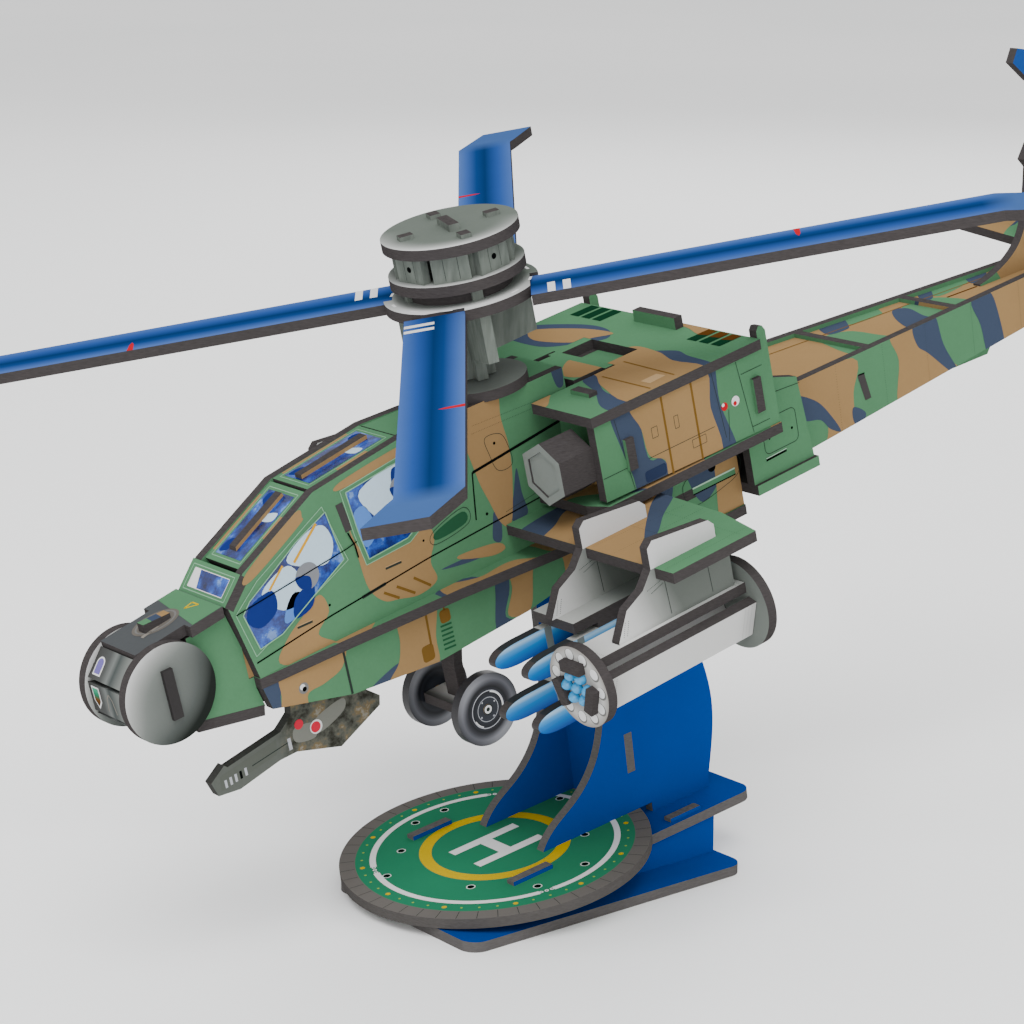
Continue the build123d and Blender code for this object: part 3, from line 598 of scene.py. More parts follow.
def plate_print(paint):
    tone = paint.span(heli_coordinate(paint, "x"), -0.010, 0.0144)
    wide = paint.ramp(tone, [(0.0, 0x777c78), (0.6, 0x8b8f8b), (1.0, 0xbcbdb9)])
    narrow = paint.above(heli_coordinate(paint, "x"), 0.0150)
    return paint.grain(paint.mix(narrow, wide, linear(0x34373a)), 0.08)


def gun_print(paint):
    """Worn gunmetal with brown patches."""
    patches = paint.span(paint.noise(330.0, 4.0, 0.65), 0.35, 0.68)
    stops = [(0.0, 0x35352f), (0.35, 0x55564f), (0.6, 0x66665c), (0.8, 0x7c6c50), (1.0, 0x8f8c80)]
    metal = paint.ramp(patches, stops)
    muzzle = paint.span(heli_coordinate(paint, "x"), *(x * MM for x in GUN_MUZZLE))
    return paint.mix(muzzle, metal, paint.grain(linear(0x666a64), 0.12))


def intake_material():
    """Charcoal duct with a grey face set back inside it."""
    paint = Paint("intake_print")
    recessed = paint.below(heli_coordinate(paint, "x"), INTAKE_LIP * MM)
    face = paint.mix(recessed, edge_colour(paint), paint.grain(linear(0x8a908b), 0.08))
    return paint.finish(paint.mix(paint.faces(HELI_AXES["x"]), edge_colour(paint), face))


def axle_highlight_and_shade(paint):
    # painted highlight and shade that make the flat beam look round: grey at its rear edge, a near-white
    # band behind the middle, darkening to almost black at its front edge
    tone = paint.span(heli_coordinate(paint, "x"), 0.0156, 0.0224)
    stops = [(0.0, 0x8d8e8b), (0.3, 0xe9e9e7), (0.55, 0xc4c4c2), (0.8, 0x6a6b69), (1.0, 0x2f302f)]
    return paint.ramp(tone, stops)


def stand_print(paint):
    return paint.grain(linear(0x00459f), 0.06)


def assign(node, material):
    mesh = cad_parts[node].data
    mesh.materials.clear()
    mesh.materials.append(material)


def dress_boards():
    """Every carried-over node gets its material."""
    side_camo = board("camo_side", plain(GREEN), HELI_AXES, "y")
    flat_camo = board("camo_flat", plain(GREEN), HELI_AXES, "z")
    cross_camo = board("camo_cross", all_over_camo, HELI_AXES, "x")
    auto_flat = board("camo_auto_flat", all_over_camo, HELI_AXES, "z")
    auto_side = board("camo_auto_side", all_over_camo, HELI_AXES, "y")
    seat_board = board("camo_tan_side", plain(TAN), HELI_AXES, "y")
    slope_green = board("canopy_frame", plain(GREEN), HELI_AXES, ["z"], limit=0.6)
    round_axes = [(1, 0, 0), (0, 1, 0), (0.7, 0.7, 0), (0.7, -0.7, 0)]
    table = {
        side_camo: ["upper_side", "lower_side", "nacelle_side", "boom_side", "bay_sides", "rear_cowls",
                    "nose_cheeks"],
        flat_camo: ["engine_deck", "wing", "spine_plates"],
        cross_camo: ["engine_frames", "boom_frames"],
        auto_flat: ["belly_plates", "chine_plate", "nacelle_floor", "stabiliser", "boom_plates",
                    "nose_keel"],
        auto_side: ["tail_fin"],
        seat_board: ["hull_frames"],
        slope_green: ["windshield_panel", "front_canopy_panel", "rear_canopy_panel"],
        board("nose_plate_print", plain(0x55585a), HELI_AXES, "z"): ["nose_top_plate"],
        board("turret_disc_print", turret_print, HELI_AXES, "y", roughness=0.5): ["turret_disc"],
        board("turret_facet_print", facet_print, HELI_AXES, [(1, 0, 0), (0.7, 0, 0.7), (0.7, 0, -0.7)],
              limit=0.68, roughness=0.34): ["turret_facets"],
        board("turret_rib_print", plain(0x3d3b3b), HELI_AXES, "xyz"): ["turret_ribs"],
        intake_material(): ["intake"],
        board("stand_side", stand_print, PAD_AXES, "y", EDGE_LIGHT, roughness=0.42):
            ["stand_fin", "stand_wedge"],
        board("stand_flat", stand_print, PAD_AXES, "z", EDGE_LIGHT, roughness=0.42):
            ["base_plate", "deck_plate"],
        board("stand_cross", stand_print, PAD_AXES, "x", EDGE_LIGHT, roughness=0.42): ["fin_crosspiece"],
        board("helipad_print", pad_print, PAD_AXES, "z", 0x5b5856): ["helipad_disc"],
        board("hub_disc_print", hub_print, HELI_AXES, "z", roughness=0.36): ["hub_discs"],
        board("hub_drum_print", drum_print, HELI_AXES, round_axes): ["hub_drum", "rotor_mast"],
        board("mast_foot_print", plain(0x737973), HELI_AXES, "z"): ["mast_base_disc"],
        board("blade_print", blade_print, HELI_AXES, "z", roughness=0.3): ["rotor_blades"],
        board("tail_rotor_print", plain(0x23509a), HELI_AXES, "y", roughness=0.3): ["tail_rotor"],
        board("pylon_print", pylon_print, HELI_AXES, "y", roughness=0.4): ["pylons"],
        board("wheel_print", wheel_print, HELI_AXES, "y", 0x333235, roughness=0.35,
              specular=0.15): ["wheel"],
        # painted shade: only faces that look up or down take this print, so the strut's upright faces stay
        # the dark edge colour, as dark as the shade under the hull
        board("axle_highlight_and_shade", axle_highlight_and_shade, HELI_AXES, "z", roughness=0.3): ["landing_gear"],
        board("gun_print", gun_print, HELI_AXES, "y", 0x4a4a48, roughness=0.35): ["gun_plate"],
        pod_material(): ["rocket_pod"],
        launcher_material(): ["launcher"],
        wood_material(): ["pivot_pins"],
    }
    for material, names in table.items():
        for name in names:
            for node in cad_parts:
                if node in (name, name + "_left", name + "_right"):
                    assign(node, material)


def wood_material():
    paint = Paint("pin_wood", 0.6)
    streak = paint.span(paint.noise(500.0, 4.0, 0.6, (1, 1, 0.1)), 0.3, 0.7)
    return paint.finish(paint.mix(streak, linear(0xa07f55), linear(0xcdb084)))


# ---- prints on the hull ----
UPPER_WINDOW = [(-44, 58), (62.8, 58), (66, 73.4), (61.5, 77.6), (44.4, 86), (23.6, 88.6), (-13.6, 88),
                (-44, 82.6)]
LOWER_WINDOW = [(-10, 48), (4, 46), (26, 45), (45, 47), (61.8, 51.6), (62.8, 56), (-10, 56)]


def print_hull():
    tan = [
        [(58.4, 59), (56, 62.5), (51.5, 65.5), (47.6, 67.7), (46.4, 64), (49.5, 60.8), (46.3, 57.6),
         (52, 56.5)],
        [(38.8, 77.4), (38.2, 71.1), (37.4, 64.6), (34.8, 61), (31.5, 60), (27, 59), (22.8, 60.2),
         (23.4, 64),
         (21.6, 68), (23, 71), (30, 72), (37, 72)],
        [(60.4, 75.6), (48.8, 81.2), (47.6, 82.6), (49, 83.8), (60.8, 77.4)],
        [(38.6, 84.2), (24.6, 85.4), (16, 85.6), (16, 87.6), (25.3, 87.2), (38.5, 85.6)],
        [(11.5, 90), (2.4, 90), (2.2, 83.8), (1.6, 78), (2.2, 72), (4.3, 63.9), (6.6, 64.8), (8.2, 69.5),
         (10, 76)],
        [(16.5, 62.6), (8.6, 61.6), (6.8, 59.8), (10.1, 59.6), (17, 61.8)],
    ]
    navy = [
        [(0.9, 73.5), (2.6, 69), (4.2, 64.4), (0.3, 64.2), (0.7, 68.5)],
        [(7.7, 67.4), (6.4, 66), (7.2, 61.6), (9, 62.4), (8.4, 65.5)],
        [(21.5, 61.6), (13, 61.4), (10.5, 60.4), (15, 60.4)],
        [(-13.2, 89), (-10.9, 89), (-11.6, 84.9), (-13.2, 84.9)],
    ]
    lower_tan = [
        [(58.1, 57.5), (45.6, 57), (46.2, 53), (50.5, 51.6), (54.2, 51.2), (55.2, 48), (60.3, 48),
         (59.6, 53)],
        [(32.4, 58), (24.1, 58), (25.6, 50), (26.5, 44), (34, 43.5), (37.4, 45.6), (34.6, 48.4),
         (33.4, 52)],
        [(7.5, 58), (1, 58), (2, 52), (4, 46), (9, 47), (7, 52)],
        [(-3, 58), (-10, 58), (-11, 50), (-6, 47), (-5.5, 53)],
    ]
    lower_navy = [
        [(62.4, 57.5), (58.6, 57), (59.8, 53), (60.5, 49), (63.6, 50)],
        [(41.9, 46), (38.4, 47.6), (34.2, 48.4), (36.6, 45), (40, 44.4)],
        [(9.6, 58), (7.4, 57.6), (7.6, 52), (9.6, 47), (5, 44.5), (12, 44.5), (11, 52)],
    ]
    two_tone(SIDE, UPPER_WINDOW, navy, tan)
    two_tone(SIDE, LOWER_WINDOW, lower_navy, lower_tan)

    # seams, hinges, vents and other small marks
    seam = [(62.8, 61), (46, 63), (24, 64.8), (-14, 66.6), (-43, 67)]
    both("black", ribbon(seam, 0.28), SIDE, 3)
    both("black", ribbon([(10.6, 76.4), (-11, 78.5)], 0.55), SIDE, 3)
    both("black", ribbon([(10.7, 76.5), (11.2, 73), (11.9, 67.5)], 0.3), SIDE, 3)
    both("ink", ribbon([(45.4, 55.8), (45.4, 47.2)], 0.5), SIDE, 3)
    for line in ([(8.7, 84.8), (-12.5, 83.8)], [(9.1, 83.4), (-12.5, 82.8)], [(5, 66.4), (-4.5, 67.5)]):
        both("ink", dots(*line, 60, 0.07), SIDE, 3)
    both("ink", outline(rounded([(6.6, 81.5), (3, 81.1), (1.7, 78), (1.5, 74.9), (3.4, 74.2), (5.3, 75),
                                 (6.2, 78)]), 0.12),
         SIDE, 3)
    both("black", [arc(4.7, 79.9, 0.3, steps=12), arc(9.3, 67.7, 0.3, steps=12),
                   arc(24.0, 68.4, 0.25, steps=12),
                   arc(46.0, 65.0, 0.25, steps=12)], SIDE, 3)
    for low, high in (((53.4, 63.7), (50.1, 63.6)), ((33.1, 66.6), (29.5, 66.5))):
        both("ink", ribbon([low, high], 0.42), SIDE, 3)
        both("tan_light", ribbon([(low[0], low[1] + 0.3), (high[0], high[1] + 0.3)], 0.12), SIDE, 3)
    both("ink", ribbon([(39.1, 63.5), (33.7, 64)], 0.6), SIDE, 3)
    for foot, head in (((31.5, 60.2), (34.5, 62.5)), ((28, 59.7), (31.6, 62.5)),
                       ((24.4, 59.7), (27.7, 62.6))):
        both("brown", ribbon([foot, head], 0.5), SIDE, 3)
    both("deep_green", [rounded([(21.2, 68.8), (14.6, 70.3), (14.2, 68), (20.8, 67.3)])], SIDE, 3)
    both("ink", outline(rounded([(21.8, 69), (14.2, 71), (13.6, 67.7), (21.6, 66.6)]), 0.12), SIDE, 3)
    both("edge", [[(40.5, 81.9), (39, 82), (38.1, 76.4), (39.6, 76.3)]], SIDE, 3)
    # lower side: louvres, brown marks and a rivet
    for step in range(6):
        level = 46.7 + step * 0.9
        both("deep_green", ribbon([(24.4 - step * 0.03, level + 0.05), (21.7, level - 0.15)], 0.38), SIDE,
             3)
    both("brown", ribbon([(26.8, 55.8), (27, 49)], 0.5), SIDE, 3)
    both("brown", [soft_box(26.6, 29.3, 46.0, 49.2, 0.7), soft_box(21.6, 24.0, 51.6, 54.2, 0.7)], SIDE, 3)
    both("brown", ribbon([(22.9, 55.8), (22.7, 54)], 0.4), SIDE, 3)
    both("edge_light", [arc(54.9, 52.6, 1.05, steps=24)], SIDE, 3)
    both("paper", [arc(55.1, 52.9, 0.55, steps=16)], SIDE, 4)
    both("black", [arc(54.8, 52.4, 0.45, steps=16)], SIDE, 5)


def print_windows():
    """Cockpit glass, printed on the sides and on the sloping panels."""
    front_frame = [(43.3, 82.8), (41.4, 75.2), (40.3, 71.4), (62.6, 62.2), (64.7, 71), (59.2, 75.2)]
    front_glass = [(42.9, 81.7), (41.9, 75.5), (41.2, 71.9), (56.6, 64), (61.6, 63.2), (63.4, 70.4),
                   (61.6, 72.3),
                   (56.7, 75), (50, 78.8)]
    rear_frame = [(39, 84), (21.3, 85.9), (20.8, 72.6), (26.8, 69.3), (36.8, 68.9), (38, 75.4)]
    rear_glass = [(38, 83.4), (22.2, 85), (21.9, 73.2), (27.2, 70.3), (36.1, 69.8), (37.1, 75.2)]
    for frame_line, glass in ((front_frame, front_glass), (rear_frame, rear_glass)):
        both("green", [frame_line], SIDE, 4)
        both("mint", outline([(a, b) for a, b in frame_line], 0.14), SIDE, 5)
        both("glass", [glass], SIDE, 6)
        both("mint", outline(glass, 0.22), SIDE, 11)
    # painted reflections, seats and generic round helmets with a painted highlight
    sky = [[(44, 79.6), (42.6, 75.8), (44.6, 72.6), (49.2, 73.8), (52.6, 76.4), (48, 79.4)],
           [(52.6, 75.4), (50.4, 71.8), (51, 68.2), (55.4, 68), (58.8, 71.6), (57.6, 73.8)]]
    both("sky", [rounded(patch) for patch in sky], SIDE, 7)
    both("sky", [rounded([(35, 82.6), (24, 84.2), (24, 74.8), (29, 73.6), (33.4, 77.4)])], SIDE, 7)
    both("glass_light", [rounded([(49, 68), (52.4, 70.2), (55, 67.6), (55.2, 65.4), (50, 66.6)]),
                         rounded([(37.4, 78.6), (34.6, 79.4), (33.4, 74.2), (36.2, 72.2)])], SIDE, 7)
    both("glass_dark", [rounded([(61.6, 71.4), (56.8, 72.4), (56.6, 68.6), (60.4, 66.8), (62.8, 68.8)]),
                        rounded([(52.4, 69.2), (48.4, 70.4), (49.4, 66.4), (53.4, 65.6)]),
                        rounded([(27.6, 83.8), (24.6, 83), (25.4, 79.2), (28, 79.8)])], SIDE, 8)
    both("yellow_soft", ribbon([(45.2, 80.4), (51.2, 75.4)], 0.55), SIDE, 8)
    both("yellow_soft", ribbon([(53.6, 75.8), (57.2, 72.6)], 0.45), SIDE, 8)
    # each helmet is a grey disc; the grey left uncovered by the dark visor is a painted highlight on the
    # round helmet
    for centre_x, centre_z, size in ((49.2, 72.0, 2.5), (26.6, 80.0, 2.2)):
        both("helmet", [arc(centre_x, centre_z, size, steps=28)], SIDE, 9)
        visor = [(centre_x - 0.4, centre_z - 0.2), (centre_x + size, centre_z + 0.6),
                 (centre_x + size * 0.7, centre_z - size * 0.7), (centre_x - 0.2, centre_z - size)]
        both("glass_dark", [rounded(visor)], SIDE, 10)
    both("black", ribbon([(64.7, 71), (40.2, 73.5), (37.8, 74)], 0.22), SIDE, 12)
    both("black", ribbon([(39.3, 76.2), (38.4, 73.5), (38.2, 71)], 0.3), SIDE, 12)

    # windshield and the two panels over the seats
    windshield = (66.4, 73.2, 62.0, 77.6)
    stamp("mint", outline(box(0.7, 5.4, -6.4, 6.4), 0.16), slope(*windshield, 2))
    stamp("glass", [box(1.3, 4.8, -5.4, 5.4)], slope(*windshield, 3))
    # a painted white highlight on the far side of the windshield glass
    stamp("paper", [[(1.3, -5.4), (4.8, -5.4), (4.8, -3.6), (1.3, -2.6)]], slope(*windshield, 4))
    stamp("paper", outline(box(1.3, 4.8, -5.4, 5.4), 0.14), slope(*windshield, 5))
    for line, length in (((60.8, 77.6, 44.6, 85.7), 18.1), ((44.0, 86.0, 24.2, 88.5), 19.9)):
        stamp("tan", [box(2.0, length - 3.0, -5.3, -4.6), box(7.0, length - 6.0, 4.5, 5.3)],
              slope(*line, 1))
        stamp("mint", outline(box(1.0, length - 1.0, -4.4, 4.4), 0.16), slope(*line, 2))
        stamp("glass", [box(1.6, length - 1.6, -3.9, 3.9)], slope(*line, 3))
        # bright: a painted reflection on the panel glass
        bright = [(length - 6.5, 0.6), (length - 5.6, 3.2), (length - 7.4, 3.4), (length - 8.0, 1.0)]
        low = [(2.2, -3.4), (4.6, -3.2), (5.4, -1.6), (3, -1.4)]
        high = [(length - 4.0, -3.2), (length - 2.0, -2.6), (length - 2.6, 0.4), (length - 5.0, -1.0)]
        stamp("sky", [rounded(bright)], slope(*line, 4))
        stamp("glass_dark", [rounded(low), rounded(high)], slope(*line, 4))


def print_nose():
    plate = (66.8, 73.6, 84.2, 71.5)
    stamp("green", [[(0.1, -7.3), (4, -7.3), (6.4, 7.3), (0.1, 7.3)]], slope(*plate, 2))
    stamp("taupe", [oval(9.0, -0.6, 4.6, 3.4)], slope(*plate, 3))
    stamp("edge_light", outline(oval(9.0, -0.6, 3.9, 2.7), 0.35), slope(*plate, 4))
    stamp("taupe_light", [[(9.6, 0.4), (13.4, 1.2), (13.4, 2), (9.6, 1.4)]], slope(*plate, 4))
    stamp("yellow", outline([(1.6, 0.2), (3.6, 0.6), (1.6, 2.2)], 0.35), slope(*plate, 3))
    # two small windows on the facets
    for number, (angle, colour) in enumerate(((42.0, "violet"), (-1.0, "shield"))):
        def facet(layer, a=math.radians(angle)):
            c, s, out = math.cos(a), math.sin(a), FACET_OUT + layer * LIFT
            return lambda across, up: heli(TURRET_X + out * c - up * s, across, TURRET_Z + out * s + up * c)

        if number == 0:
            shape = [(-4.7, -2), (-2.3, -2)] + arc(-3.5, 0.2, 1.2, 0, 180, 12)
            inner = [(-4.4, -1.7), (-2.6, -1.7)] + arc(-3.5, 0.2, 0.9, 0, 180, 12)
        else:
            shape = [(-4.7, 2.2), (-4.7, -0.6), (-3.5, -2.1), (-2.3, -0.6), (-2.3, 2.2)]
            inner = [(-4.4, 1.9), (-4.4, -0.5), (-3.5, -1.6), (-2.6, -0.5), (-2.6, 1.9)]
            arch = [(-0.4, -1.8), (0, 0.8), (0.8, 1.7), (1.6, 0.8), (2.2, -1.8)]
            stamp("taupe_light", ribbon(arch, 0.25), facet(2))
        stamp("paper", [shape], facet(2))
        stamp(colour, [inner], facet(4))


def print_engines():
    face = [(-46, 67), (-4.8, 67.8), (-4.8, 82.6), (-46, 82.6)]
    tan = [[(-14.4, 84), (-31.6, 84), (-32.2, 76), (-32.9, 66), (-20.9, 66), (-19.6, 70.4), (-16.2, 72.6),
            (-15.4, 78)]]
    navy = [[(-8.9, 84), (-14.6, 84), (-15.8, 72.6), (-18.6, 71.2), (-20.4, 68.6), (-20, 66), (-12.9, 66),
             (-11.6, 70.6), (-10.2, 76)],
            [(-31.4, 84), (-34.7, 84), (-34.6, 76), (-37, 66), (-32.4, 66), (-32.2, 75)]]
    two_tone(NACELLE, face, navy, tan)
    for x in (-21, -28.4):
        both("brown", ribbon([(x, 82.4), (x, 67.2)], 0.5), NACELLE, 3)
    for line in ([(-32.4, 72.1), (-16, 72.1)], [(-9.6, 82), (-11.6, 67.8)], [(-33.6, 82.4), (-34.8, 69)],
                 [(-36.4, 74), (-35.4, 68)], [(-39.8, 82.2), (-41.6, 67.4)], [(-40.6, 79.4), (-46, 79.4)],
                 [(-41.4, 68.6), (-46, 68.6)], [(-5, 72.3), (-11.2, 72.3)]):
        both("ink", ribbon(line, 0.12), NACELLE, 3)
    both("ink", outline(box(-19.0, -17.6, 75.4, 77.4), 0.1), NACELLE, 3)
    both("ink", outline(box(-24.2, -23.2, 75.2, 77.6), 0.1), NACELLE, 3)
    both("ink", outline(box(-30.0, -26.6, 70.0, 71.6), 0.1), NACELLE, 3)
    both("navy_dark", [soft_box(-19.6, -14.4, 67.8, 70.0, 0.6)], NACELLE, 3)
    both("red", [arc(-35.5, 74.9, 0.8, steps=16)], NACELLE, 3)
    both("paper", [arc(-38.3, 75.0, 1.0, steps=16), arc(-35.2, 75.3, 0.35, steps=10)], NACELLE, 4)
    both("red", [arc(-38.1, 74.6, 0.45, steps=12)], NACELLE, 5)

    deck_port = [(-46, 9), (-4, 9), (-4, 25.7), (-46, 25.7)]
    deck_star = [(-46, -25.7), (-4, -25.7), (-4, -9), (-46, -9)]
    deck_rear = [(-46, -9), (-32.3, -9), (-32.3, 9), (-46, 9)]
    deck_bridge = [(-32.3, 6.7), (-24.6, 6.7), (-24.6, 9), (-32.3, 9)]
    centre_tan = [(-20.6, 6), (-32.3, 4), (-33, 11.5), (-31, 18), (-30.4, 27), (-13.4, 27), (-15.6, 15.8),
                  (-19, 10)]
    far_tan = [(-36.4, -5), (-33, -7), (-29.2, -9.4), (-27, -18), (-30.8, -22.8), (-35.6, -13)]
    rear_tan = [(-48, -6), (-48, 9), (-46, 12.6), (-43, 12), (-44.6, 7), (-45, 0)]
    nose_tan = [(-3, 7), (-8.8, 8), (-7, 10.6), (-4.2, 13), (-3, 11)]
    navy_far = [(-31.6, -26.5), (-37.2, -15.4), (-37.4, -7.8), (-33.8, -4), (-29, -8), (-25, -14),
                (-26, -26)]
    navy_mid = [(-31.4, 9), (-34.9, 14.4), (-34, 19), (-33, 27), (-29.2, 27), (-30.6, 18)]
    navy_near = [(-20, 9), (-16.4, 14), (-14, 19), (-13.4, 27), (-8.6, 27), (-9, 22.6), (-13.4, 16),
                 (-16.4, 9)]
    for window in (deck_port, deck_star, deck_rear, deck_bridge):
        camo("navy", [navy_far, navy_mid, navy_near], top(DECK, 1), window)
        camo("tan", [centre_tan, far_tan, rear_tan, nose_tan], top(DECK, 2), window)
    # vent slats; the port ones run over a tan patch, so their rear halves are brown
    for first_slat in (-22.2, 12):
        for slat in range(3):
            y = first_slat + slat * 3.3
            stamp("louvre", [[(-40, y), (-45.6, y + 0.1), (-45.6, y + 2.6), (-40, y + 2.5)]], top(DECK, 3))
            if first_slat > 0:
                brown = [(-42.6, y), (-45.6, y + 0.1), (-45.6, y + 2.6), (-43.2, y + 2.5)]
                stamp("brown_dark", [brown], top(DECK, 4))
    for line in ([(-26.5, 9.2), (-25.9, 24)], [(-19.3, 11.3), (-19.1, 25)]):
        stamp("brown", ribbon(line, 0.4), top(DECK, 3))
    stamp("tan_light", [[(-20.8, 20.4), (-24.7, 20.3), (-25, 22.6), (-20.9, 22.9)]], top(DECK, 3))
    # hull cover between the hub and the well
    cover = [(-22.6, -7.4), (-15.6, -7.4), (-15.6, 7.4), (-22.6, 7.4)]
    camo("tan", [[(-16.6, 3), (-23, -2), (-23, 8), (-18, 8)]], top(DECK, 1), cover)

    # engine bay and rear cowl
    bay = [(-44, 50), (-10, 50), (-10, 65), (-44, 65)]
    bay_navy = [[(-31.2, 64), (-39.6, 62), (-38.4, 56.7), (-34, 54.4), (-31.6, 59)],
                [(-24.6, 63), (-27.6, 61), (-25.6, 56), (-22, 52), (-21, 55), (-23, 59)]]
    bay_tan = [[(-39.2, 66), (-46, 66), (-46, 48), (-38, 48), (-38, 57)],
               [(-14, 62), (-24.8, 62.4), (-22.4, 58.6), (-20, 54), (-14, 50), (-8, 54)]]
    two_tone(BAY, bay, bay_navy, bay_tan)
    both("black", [arc(-37.5, 60.3, 1.0, steps=20)], BAY, 3)
    both("ink", outline(rounded([(-30.6, 60), (-43.4, 60.4), (-44, 57), (-40, 55.4), (-31.4, 54.6)]), 0.12),
         BAY, 3)
    both("green", [box(-43.0, -32.0, 56.8, 57.9)], BAY, 4)
    both("mint_light", [box(-43.0, -32.0, 57.75, 58.05)], BAY, 5)
    both("black", [box(-43.0, -32.0, 56.55, 56.8)], BAY, 5)
    both("ink", outline(soft_box(-56.8, -47.9, 59.3, 66.2, 1.2), 0.14), COWL_SIDE, 2)
    both("black", ribbon([(-47.8, 58.3), (-53.2, 58.4)], 0.45), COWL_SIDE, 2)
    both("mint_light", ribbon([(-47.8, 58.65), (-53.2, 58.75)], 0.15), COWL_SIDE, 3)
    both("black", [arc(-55.4, 62.2, 0.28, steps=10), arc(-49.4, 62.2, 0.22, steps=10)], COWL_SIDE, 2)
    both("ink", ribbon([(-49, 71), (-59, 70.2)], 0.14), COWL_SIDE, 2)


def print_boom():
    wall = [(-146, 52.3), (-60.4, 52.8), (-60.4, 67.6), (-146, 62.3)]
    tan = [[(-58, 68), (-80.8, 66), (-79.6, 59.1), (-79.2, 55.7), (-79.4, 51), (-70.2, 51), (-70.9, 55),
            (-70, 60), (-58, 64)],
           [(-92.7, 66), (-100.3, 66), (-100.7, 61.3), (-103.9, 58.5), (-110.6, 53.8), (-112, 50),
            (-93.2, 50),
            (-94.3, 60.3)],
           [(-124.6, 64), (-148, 64), (-148, 50), (-127.2, 50), (-126.9, 57)]]
    navy = [[(-63, 64.6), (-68.3, 61.8), (-71.6, 58), (-74.4, 53), (-71.4, 54.6), (-69, 57.4), (-64, 59.4)],
            [(-79, 56.2), (-82.4, 53.6), (-80, 51.5), (-78.4, 53.6)],
            [(-100, 66), (-106.6, 66), (-108.6, 58.3), (-112.8, 50), (-110.2, 51.5), (-103.6, 58.3),
             (-100.4, 61.3)],
            [(-118.9, 64), (-125, 64), (-127.2, 57.9), (-127.6, 50), (-122.4, 50), (-120.9, 58.1)]]
    for sign in (1, -1):
        camo("tan", tan, boom_wall(sign, 1), wall)
        camo("navy", navy, boom_wall(sign, 2), wall)
        for x in (-75.4, -89.8, -103.4, -118.5, -134.6):
            stamp("ink", dots((x, 62.0 + (x + 146) * 0.06), (x + 0.6, 53.0), 26, 0.07), boom_wall(sign, 3))
        stamp("edge", [[(-81.4, 61.9), (-83.5, 61.6), (-84.6, 56.1), (-82.7, 56.2)]], boom_wall(sign, 3))
        stamp("black", [[(-81.4, 61.9), (-81.8, 62.1), (-83.6, 61.9), (-83.5, 61.6)]], boom_wall(sign, 4))
    roof = [(-146, -4.2), (-60.4, -12), (-60.4, 12), (-146, 4.2)]
    stamp("tan", [roof], boom_roof(1))
    roof_green = [[(-84, 11), (-85.8, -1), (-88, -4.6), (-94.2, -2.7), (-95.4, 4), (-95, 11)],
                  [(-100.7, -13), (-109.1, -12), (-107, -5.4), (-104.5, -4.4), (-97.4, -5.8)],
                  [(-110.7, -3), (-115, -3.6), (-120.2, -1.8), (-121, 9), (-108, 9)],
                  [(-124.4, -10), (-136.4, -9), (-132.2, -4), (-120.7, -2.3)]]
    roof_navy = [[(-95.4, -13), (-101.6, -13), (-97.4, -5.6), (-94.9, -3.7), (-90.6, -5)],
                 [(-108.9, -4.2), (-111.5, -2.2), (-109.4, 4), (-108.4, 9), (-101.6, 9), (-104, 2)],
                 [(-135.6, -9), (-141, -9), (-135.8, -2.6), (-130.8, -2.3)],
                 [(-116.8, -3.3), (-122, -10), (-125.4, -10), (-119.6, -2.8)]]
    camo("green", roof_green, boom_roof(2), roof)
    camo("navy", roof_navy, boom_roof(3), roof)
    stamp("brown", ribbon([(-62, -7), (-140, -2.6)], 0.3), boom_roof(4))
    stamp("brown_dark", ribbon([(-121, -0.1), (-129.6, 0.3)], 0.5), boom_roof(4))
    stamp("edge", [box(-89.6, -87.0, -0.7, 0.5)], boom_roof(4))


def print_wings():
    window = [(-18.6, 7.4), (5.6, 7.4), (5, 52.6), (-14.8, 52.6), (-17.5, 41), (-18.6, 20)]
    navy = [[(8, 13.5), (1.6, 11), (-7.7, 10.6), (-8.6, 14.4), (-3.9, 15), (1.3, 18), (8, 21.5)],
            [(-22, 21), (-20.8, 24.5), (-18, 27.4), (-11.6, 31.8), (-6, 36.6), (-1.6, 39), (-6, 32),
             (-13, 25)]]
    tan = [[(8, 20.6), (1.3, 16.4), (-3.9, 13.2), (-8, 14), (-9.6, 18.4), (-14.5, 20.2), (-22, 20.6),
            (-14.5, 25.4),
            (-6.5, 32.6), (-1, 38.2), (8, 46.5), (9, 32)]]
    for sign in (1, -1):
        def place(layer):
            return lambda x, y: heli(x, sign * y, WING + layer * LIFT)
        camo("navy", navy, place(1), window)
        camo("tan", tan, place(2), window)
        for line in ([(-5.4, 20), (-5.3, 27)], [(-5.4, 29.8), (-5.4, 45.4)], [(-12.6, 24), (-12.3, 51)],
                     [(4, 30.5), (-16.4, 32)], [(4.2, 36.4), (-17, 36.4)], [(4.2, 24), (-18, 24.2)],
                     [(4.4, 50), (-14.4, 50)]):
            stamp("ink", dots(*line, 44, 0.065), place(3))
    # pylons: rows of rivets and panel lines on the outer faces
    for sign in (1, -1):
        for y in PYLONS:
            face = side(store_y(sign, y + PYLON_HALF), 2)
            stamp("ink", ribbon([(3.4, 61.6), (3, 54.4)], 0.12), face)
            stamp("ink", ribbon([(-6.6, 61.4), (-6.9, 54.4)], 0.12), face)
            for shift in (0, 0.8):
                stamp("ink", dots((7.4 - shift, 60.6 - shift), (3.8, 61.4 - shift), 12, 0.09), face)
                stamp("ink", dots((13.4 - shift, 57.0), (14.2 - shift, 54.6), 8, 0.09), face)


